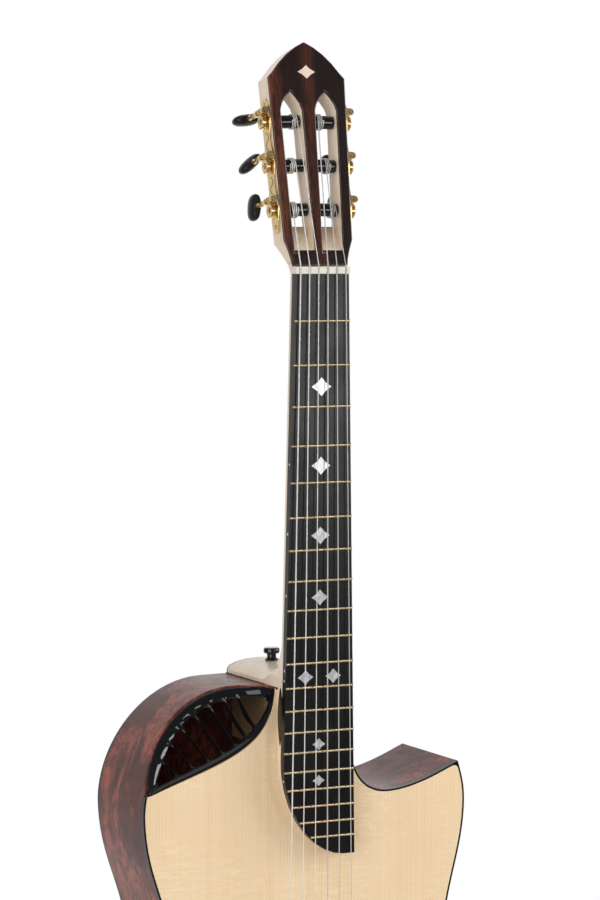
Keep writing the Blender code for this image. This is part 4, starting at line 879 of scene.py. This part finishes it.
class GUITAR_OT_head_face(Operator):
    """The head's dark veneer, with polished rounded edges"""
    bl_idname = "guitar.head_face"
    bl_label = "Head face"

    def execute(self, context):
        veneer = worked_copy("head_veneer", "polished_veneer", False)
        pick(veneer, facing(HEAD.to_3x3() @ Vector((0.0, -1.0, 0.0))))
        bpy.ops.mesh.region_to_loop()
        bpy.ops.mesh.bevel(offset=sizes().edge_round, segments=3)
        leave()
        dressed(veneer, "rosewood", 40.0, replaced="head_veneer")
        return {"FINISHED"}


def slotted_screw(name, radius):
    """A domed screw head about Z with one slot, its foot at the origin."""
    screw = turned(name, [(-0.0003, radius), (0.0003, radius), (0.0006, radius * 0.86),
                          (0.0008, radius * 0.6), (0.00086, radius * 0.25)], 24)
    bpy.ops.mesh.primitive_cube_add(size=1.0, location=(0.0, 0.0, 0.0009),
                                    scale=(radius * 2.4, radius * 0.26, 0.0008))
    cutter = settle("slot_cutter")
    changed(screw, "BOOLEAN", object=cutter, operation="DIFFERENCE", solver="EXACT")
    discard(cutter)
    return screw


def scroll(side):
    """Points of a double scroll, in a plate's own Y and Z."""
    points = []
    for k in range(-22, 23):
        turn = k / 22
        angle = copysign(abs(turn) ** 1.1 * 4.4, turn)
        reach = 0.0042 * (1 - abs(turn) * 0.70)
        points.append((side * copysign(reach, turn) * sin(abs(angle)) * 0.85,
                       turn * 0.0062 + reach * copysign(cos(angle) - 1, turn) * 0.45))
    return points


class GUITAR_OT_plates(Operator):
    """The tuning machines' gold plates, with their engraving as near-black lines of painted groove
    shade, and screws
    """
    bl_idname = "guitar.plates"
    bl_label = "Machine plates"

    def execute(self, context):
        middle = LOWEST_ROLLER + ROLLER_SPACING
        screw = slotted_screw("blank_screw", sizes().screw_radius)
        for side, name in ((-1, "bass"), (1, "treble")):
            node = "machine_plate_" + name
            plate = rounded(worked_copy(node, "polished_plate_" + name, False), 0.00028)
            dressed(plate, "brass", 40.0, replaced=node)
            place = side_frame(side, middle)
            lines = []
            for z in (-ROLLER_SPACING / 2, ROLLER_SPACING / 2):
                points = [place @ Vector((side * (PLATE_FACE - 0.00010), y, z + 0.002 + h))
                          for y, h in scroll(side)]
                lines.append(tube("scroll", points, sizes().scroll_line, 1))
            # The scrolls carry painted shade: a near-black finish in place of the shadowed engraved
            # grooves.
            dressed(joined(lines, "engraved_scrolls_" + name), "engraving", slot="brass")
            places = [place @ at(side * PLATE_FACE, 0.0, z) @ outward(side) @ spun(turn, "Z")
                      for z, turn in SCREW_PLACES]
            dressed(scattered(screw, "plate_screws_" + name, places), "brass", 30.0)
        discard(screw)
        return {"FINISHED"}


# Tuning machines

WORM_INNER = 0.00495  # inner face of a post along the worm
WORM_OUTER = 0.00825  # just past its outer face
THREAD_ROOT = 0.00175
THREAD_HALF = (0.00053, 0.00028)  # a tooth's half width at its root and at its crest
SHAFT = 0.00125


def worm_thread():
    """Three turns of thread about Y, swept from one tooth's outline."""
    root, crest = THREAD_HALF
    start = -1.5 * PITCH
    corners = [(0.0, start - root, -THREAD_ROOT), (0.0, start - crest, -WORM_RADIUS),
               (0.0, start + crest, -WORM_RADIUS), (0.0, start + root, -THREAD_ROOT),
               (0.0, start + PITCH - root, -THREAD_ROOT)]
    mesh = bpy.data.meshes.new("thread")
    mesh.from_pydata(corners, [(k, k + 1) for k in range(4)], [])
    piece = changed(new_piece("thread", mesh), "SCREW", axis="Y", angle=2 * pi,
                    screw_offset=PITCH, iterations=3, steps=28, render_steps=28)
    pick(piece, kind="VERT")
    bpy.ops.mesh.remove_doubles(threshold=0.00001)
    bpy.ops.mesh.select_all(action="DESELECT")
    bpy.ops.mesh.select_non_manifold()
    bpy.ops.mesh.fill_holes(sides=0)
    face_out()
    return piece


class GUITAR_OT_worms(Operator):
    """Threaded worm shafts with turned collars, one under each button"""
    bl_idname = "guitar.worms"
    bl_label = "Worm shafts"

    def execute(self, context):
        thread = worm_thread()
        core = THREAD_ROOT - 0.00005
        end = WORM_INNER - GAP
        stem = WORM_OUTER + 0.0018
        shaft = turned("blank_shaft", [
            (-WORM_OUTER, SHAFT), (-end, SHAFT), (-end, core), (end, core), (end, SHAFT),
            (WORM_OUTER, SHAFT), (WORM_OUTER, 0.0021), (WORM_OUTER + 0.0003, 0.0024),
            (stem - 0.0003, 0.0024), (stem, 0.0020), (stem + 0.0012, 0.0016),
            (stem + 0.0036, 0.0015), (stem + 0.0042, 0.0020), (stem + 0.0050, 0.00235),
            (stem + 0.0058, 0.0020), (stem + 0.0064, 0.0015), (stem + 0.0086, 0.0016),
            (stem + 0.0106, 0.0021), (stem + 0.0120, 0.0023)], 28)
        shaft.data.transform(ON_AXIS_Y)
        for number, side, z in tuners():
            place = side_frame(side, z) @ at(side * WORM_PLANE, 0.0, WORM_OFFSET)
            pair = [copied(shaft, f"shaft_{number}", place), copied(thread, "turns", place)]
            worm = joined(pair, f"worm_shaft_{number}")
            dressed(worm, "brass", 30.0, f"worm_{number}", replaced=f"worm_{number}")
        discard(thread)
        discard(shaft)
        return {"FINISHED"}


class GUITAR_OT_buttons(Operator):
    """A slotted screw in the middle of each gear, and rounded black buttons"""
    bl_idname = "guitar.buttons"
    bl_label = "Gear screws and buttons"

    def execute(self, context):
        screw = slotted_screw("blank_gear_screw", sizes().gear_screw_radius)
        for number, side, z in tuners():
            face = at(side * (WORM_PLANE + 0.0012), 0.0, 0.0)
            place = side_frame(side, z) @ face @ outward(side) @ spun(50.0 * number, "Z")
            dressed(copied(screw, f"gear_screw_{number}", place), "brass", 30.0, f"roller_{number}")
        discard(screw)
        for number, _, _ in tuners():
            node = f"button_{number}"
            button = smoothed(worked_copy(node, f"tuner_button_{number}"))
            dressed(button, "button_black", 60.0, f"worm_{number}", "black_gloss", node)
        return {"FINISHED"}


class GUITAR_OT_rollers(Operator):
    """Black string rollers with collars, on their journals"""
    bl_idname = "guitar.rollers"
    bl_label = "Rollers"

    def execute(self, context):
        drum = ROLLER_RADIUS
        for number, side, z in tuners():
            reach = head_half(z) - strip_half(z)
            near, far = SLOT_WALL + 0.0006, reach - 0.0006
            roller = turned(f"string_roller_{number}", [
                (-0.0016, JOURNAL_RADIUS), (near - 0.0001, JOURNAL_RADIUS), (near, drum - 0.0002),
                (near + 0.0002, drum), (near + 0.0012, drum), (near + 0.0014, drum - 0.0003),
                (near + 0.0018, drum - 0.0003), (near + 0.0020, drum), (far - 0.0014, drum),
                (far - 0.0012, drum - 0.0003), (far - 0.0008, drum), (far - 0.0002, drum),
                (far, drum - 0.0002), (far + 0.0001, 0.0020), (reach + 0.0020, 0.0020)], 36)
            roller.data.transform(side_frame(side, z) @ outward(-side))
            dressed(roller, "black_gloss", 30.0, f"roller_{number}", replaced=f"roller_{number}")
        return {"FINISHED"}


# Body

PIN_LENGTH = 0.0105
PIN_FLANGE = 0.00665
PIN_STEM = 0.0038
PIN_FOOT = 0.0056


class GUITAR_OT_pins(Operator):
    """Moulded sound port, strap button on the heel and end pin at the tail"""
    bl_idname = "guitar.pins"
    bl_label = "Sound port and pins"

    def execute(self, context):
        port = smoothed(worked_copy("soundport_grille", "moulded_port"), 1)
        dressed(port, "black_gloss", 50.0, replaced="soundport_grille")
        outline = ((0.10, PIN_FOOT), (0.16, PIN_FOOT * 0.86), (0.24, PIN_STEM), (0.50, PIN_STEM),
                   (0.56, PIN_FLANGE * 0.86), (0.62, PIN_FLANGE * 0.98), (0.68, PIN_FLANGE),
                   (0.88, PIN_FLANGE), (0.95, PIN_FLANGE * 0.95), (1.0, PIN_FLANGE * 0.84),
                   (1.0, PIN_FLANGE * 0.3))
        pin = turned("blank_pin", [(0.0, PIN_FOOT * 0.96), (0.0004, PIN_FOOT)] + [
            (PIN_LENGTH * share, radius) for share, radius in outline], 40)
        high = at(0.0, BODY_TOP + 0.0740, BODY_EDGE + 0.0112 + 2 * GAP)
        low = at(0.0, BODY_TOP + BODY_DEPTH / 2, BODY_EDGE - BODY_LENGTH - GAP)
        low = low @ spun(180.0, "X")
        for place, node in ((high, "strap_button"), (low, "end_pin")):
            dressed(copied(pin, "turned_" + node, place), "black_gloss", 40.0, replaced=node)
        discard(pin)
        return {"FINISHED"}


class GUITAR_OT_dark_lines(Operator):
    """A line between heel and side, and a dark lens of painted shade for a narrow slot in the raised
    tongue's bass wall
    """
    bl_idname = "guitar.dark_lines"
    bl_label = "Dark lines"

    def execute(self, context):
        bpy.ops.mesh.primitive_cube_add(
            size=1.0, location=(0.0, BODY_TOP + 0.0625, BODY_EDGE + 0.00045),
            scale=(0.0592, 0.0776, 0.0007))
        dressed(rounded(settle("heel_line"), 0.0002), "black_gloss")
        # Painted shade: a thin dark lens laid on the tongue's bass wall stands in for a narrow slot's
        # shadowed inside.
        bpy.ops.mesh.primitive_circle_add(vertices=48, radius=1.0, fill_type="NGON")
        lens = settle("tongue_slot")
        for corner in lens.data.vertices:
            corner.co.y = corner.co.y * (1 - corner.co.x * corner.co.x * 0.45)
        pick(lens)
        bpy.ops.mesh.extrude_region_move(TRANSFORM_OT_translate={"value": (0.0, 0.0, 1.0)})
        face_out()
        lean = atan2(board_half(SLOT_MIDDLE - 0.02) - board_half(SLOT_MIDDLE + 0.02), 0.04)
        wall = -board_half(SLOT_MIDDLE) + 0.0015 - 0.00008
        turn = Matrix.Rotation(lean, 4, "Y") @ spun(90.0, "Y")
        size = Matrix.Diagonal((0.0236, 0.0050, 0.0006, 1.0))
        lens.data.transform(at(wall, 0.0103, SLOT_MIDDLE) @ turn @ size)
        dressed(lens, "ebony", 30.0)
        return {"FINISHED"}


class GUITAR_OT_frame_finishes(Operator):
    """Wood, metal and bone finishes on every piece of the frame"""
    bl_idname = "guitar.frame_finishes"
    bl_label = "Frame finishes"

    def execute(self, context):
        for part in frame["record"]["subparts"]:
            for slot in NODES[part["node"]].material_slots:
                slot.material = finish_named(part["material_slot"])
        return {"FINISHED"}


class GUITAR_OT_smooth_wood(Operator):
    """Neck, head, sides, plates and bindings with their curved walls shaded as one"""
    bl_idname = "guitar.smooth_wood"
    bl_label = "Curved walls"

    def execute(self, context):
        slots = {part["node"]: part["material_slot"] for part in frame["record"]["subparts"]}
        for node in ("neck", "head_core", "fingerboard"):
            curved = worked_copy(node, "curved_" + node)
            dressed(curved, slots[node], 32.0, replaced=node)
        for node in ("bass_side", "treble_side", "top_binding", "back_binding", "soundboard",
                     "back_plate"):
            curved = worked_copy(node, "curved_" + node)
            pick(curved, kind="EDGE")
            bpy.ops.mesh.select_all(action="DESELECT")
            bpy.ops.mesh.edges_select_sharp(sharpness=radians(38.0))
            bpy.ops.transform.edge_crease(value=1.0)
            leave()
            breadth = half_breadth(curved)
            share = breadth / half_breadth(smoothed(curved))
            curved.data.transform(Matrix.Diagonal((share, 1.0, 1.0, 1.0)))
            finish = "ebony" if node.endswith("binding") else slots[node]
            dressed(curved, finish, 32.0, slot=slots[node], replaced=node)
        return {"FINISHED"}


def half_breadth(piece):
    return max(abs(corner.co.x) for corner in piece.data.vertices)


class GUITAR_OT_small_edges(Operator):
    """Nut, saddle, heel cap and bridge with softened edges"""
    bl_idname = "guitar.small_edges"
    bl_label = "Softened edges"

    def execute(self, context):
        for node, width, finish in (("nut", 0.0003, "bone"), ("saddle", 0.0004, "bone"),
                                    ("heel_cap", 0.0004, "black_gloss"), ("bridge", 0.0005, "ebony")):
            soft = rounded(worked_copy(node, "softened_" + node, False), width, 35.0)
            dressed(soft, finish, replaced=node)
        return {"FINISHED"}


# Studio

FLOOR_RADIUS = 1.35
FLOOR_DROP = 0.0012  # below the end pin
BACKDROP = (0.414, 0.910, 0.0)  # way from the camera to the backdrop
ROOM_GLOSS = 0.13  # dim room behind the camera, as gloss shows it


def aimed_lamp(name, place, height, size, power):
    """A soft lamp turned towards the guitar's middle line at a height."""
    bpy.ops.object.light_add(type="AREA", location=place)
    lamp = bpy.context.object
    lamp.name = name
    lamp.data.shape = "RECTANGLE"
    lamp.data.size, lamp.data.size_y = size
    lamp.data.energy = power
    aim = Vector((0.0, 0.0, height)) - Vector(place)
    lamp.rotation_euler = aim.to_track_quat("-Z", "Y").to_euler()


def white_room(strength):
    """A world that looks white, and shows gloss and glass that backdrop behind the guitar."""
    world = bpy.data.worlds.new("white_room")
    world.use_nodes = True
    nodes = world.node_tree.nodes
    seen = nodes.new("ShaderNodeLightPath").outputs
    toward = nodes.new("ShaderNodeTexCoord").outputs["Generated"]
    behind = add("VectorMath", {0: toward, 1: BACKDROP}, operation="DOT_PRODUCT")["Value"]
    sharp = maths("MAXIMUM", seen["Is Glossy Ray"], seen["Is Transmission Ray"])
    level = between(sharp, strength, spread(behind, 0.30, 0.85, ROOM_GLOSS, 1.0))
    feed(nodes["Background"], {
        "Color": grey(1.0), "Strength": between(seen["Is Camera Ray"], level, 1.0)})
    bpy.context.scene.world = world


def floor_finish(colour):
    """Pale and matt, fading out towards the floor's edge."""
    finish, shader, place = blank("floor")
    grain = clouds(place, 35.0)
    tone = mix(spread(grain, 0.3, 0.7), rgba(colour, 0.985), rgba(colour))
    away = add("VectorMath", {0: place}, operation="LENGTH")["Value"]
    feed(shader, {"Base Color": tone, "Roughness": 0.9, "Specular IOR Level": 0.0,
                  "Alpha": spread(away, 0.75, FLOOR_RADIUS * 0.98, 1.0, 0.0)})
    return finish


class GUITAR_OT_studio(Operator):
    """Camera, soft lamps, white room and pale floor"""
    bl_idname = "guitar.studio"
    bl_label = "Studio"

    def execute(self, context):
        stage = context.scene.guitar_stage
        bpy.ops.object.camera_add(location=stage.camera_place, rotation=stage.camera_turn)
        camera = bpy.context.object
        camera.name = "photo_camera"
        camera.data.lens = stage.lens
        camera.data.sensor_width = 36.0
        camera.data.clip_start = 0.05
        context.scene.camera = camera
        aimed_lamp("key_lamp", (-2.1, -1.5, 0.0), -0.30, (2.0, 2.2), stage.key)
        aimed_lamp("fill_lamp", (2.1, -1.0, 0.25), -0.30, (1.2, 1.3), stage.fill)
        aimed_lamp("front_lamp", (1.0, -2.2, -0.05), -0.15, (0.4, 0.9), stage.front)
        aimed_lamp("top_lamp", (-0.2, -0.5, 1.6), -0.30, (1.2, 1.2), stage.top)
        white_room(stage.room)
        level = BODY_EDGE - BODY_LENGTH - GAP - PIN_LENGTH - FLOOR_DROP
        bpy.ops.mesh.primitive_circle_add(vertices=96, radius=FLOOR_RADIUS, fill_type="NGON",
                                          location=(0.0, 0.0, level))
        floor = settle("floor")
        floor.data.materials.append(floor_finish(context.scene.guitar_colours.floor))
        context.scene.view_settings.view_transform = "Standard"
        return {"FINISHED"}


# Add-on

STEPS = (GUITAR_OT_frame_finishes, GUITAR_OT_strings, GUITAR_OT_string_ties, GUITAR_OT_frets,
         GUITAR_OT_markers, GUITAR_OT_head_face, GUITAR_OT_plates, GUITAR_OT_worms,
         GUITAR_OT_buttons, GUITAR_OT_rollers, GUITAR_OT_pins, GUITAR_OT_dark_lines,
         GUITAR_OT_smooth_wood, GUITAR_OT_small_edges, GUITAR_OT_studio)


class GUITAR_PT_panel(Panel):
    """Every step of the guitar's looks, in order"""
    bl_label = "Jazz guitar"
    bl_idname = "GUITAR_PT_panel"
    bl_space_type = "VIEW_3D"
    bl_region_type = "UI"
    bl_category = "Guitar"

    def draw(self, context):
        column = self.layout.column()
        for step in STEPS:
            column.operator(step.bl_idname)
        for group in SETTINGS:
            box = self.layout.box()
            for name in SETTINGS[group].__annotations__:
                box.prop(getattr(context.scene, group), name)


SETTINGS = {"guitar_sizes": GuitarSizes, "guitar_colours": GuitarColours, "guitar_stage": GuitarStage}
CLASSES = (*SETTINGS.values(), *STEPS, GUITAR_PT_panel)


def register():
    for kind in CLASSES:
        bpy.utils.register_class(kind)
    for name, kind in SETTINGS.items():
        setattr(bpy.types.Scene, name, PointerProperty(type=kind))


def unregister():
    for name in SETTINGS:
        delattr(bpy.types.Scene, name)
    for kind in reversed(CLASSES):
        bpy.utils.unregister_class(kind)


def main():
    register()
    for step in STEPS:
        category, name = step.bl_idname.split(".")
        result = getattr(getattr(bpy.ops, category), name)()
        if result != {"FINISHED"}:
            raise RuntimeError(f"{step.bl_label} wasn't made")


if __name__ == "__main__":
    main()
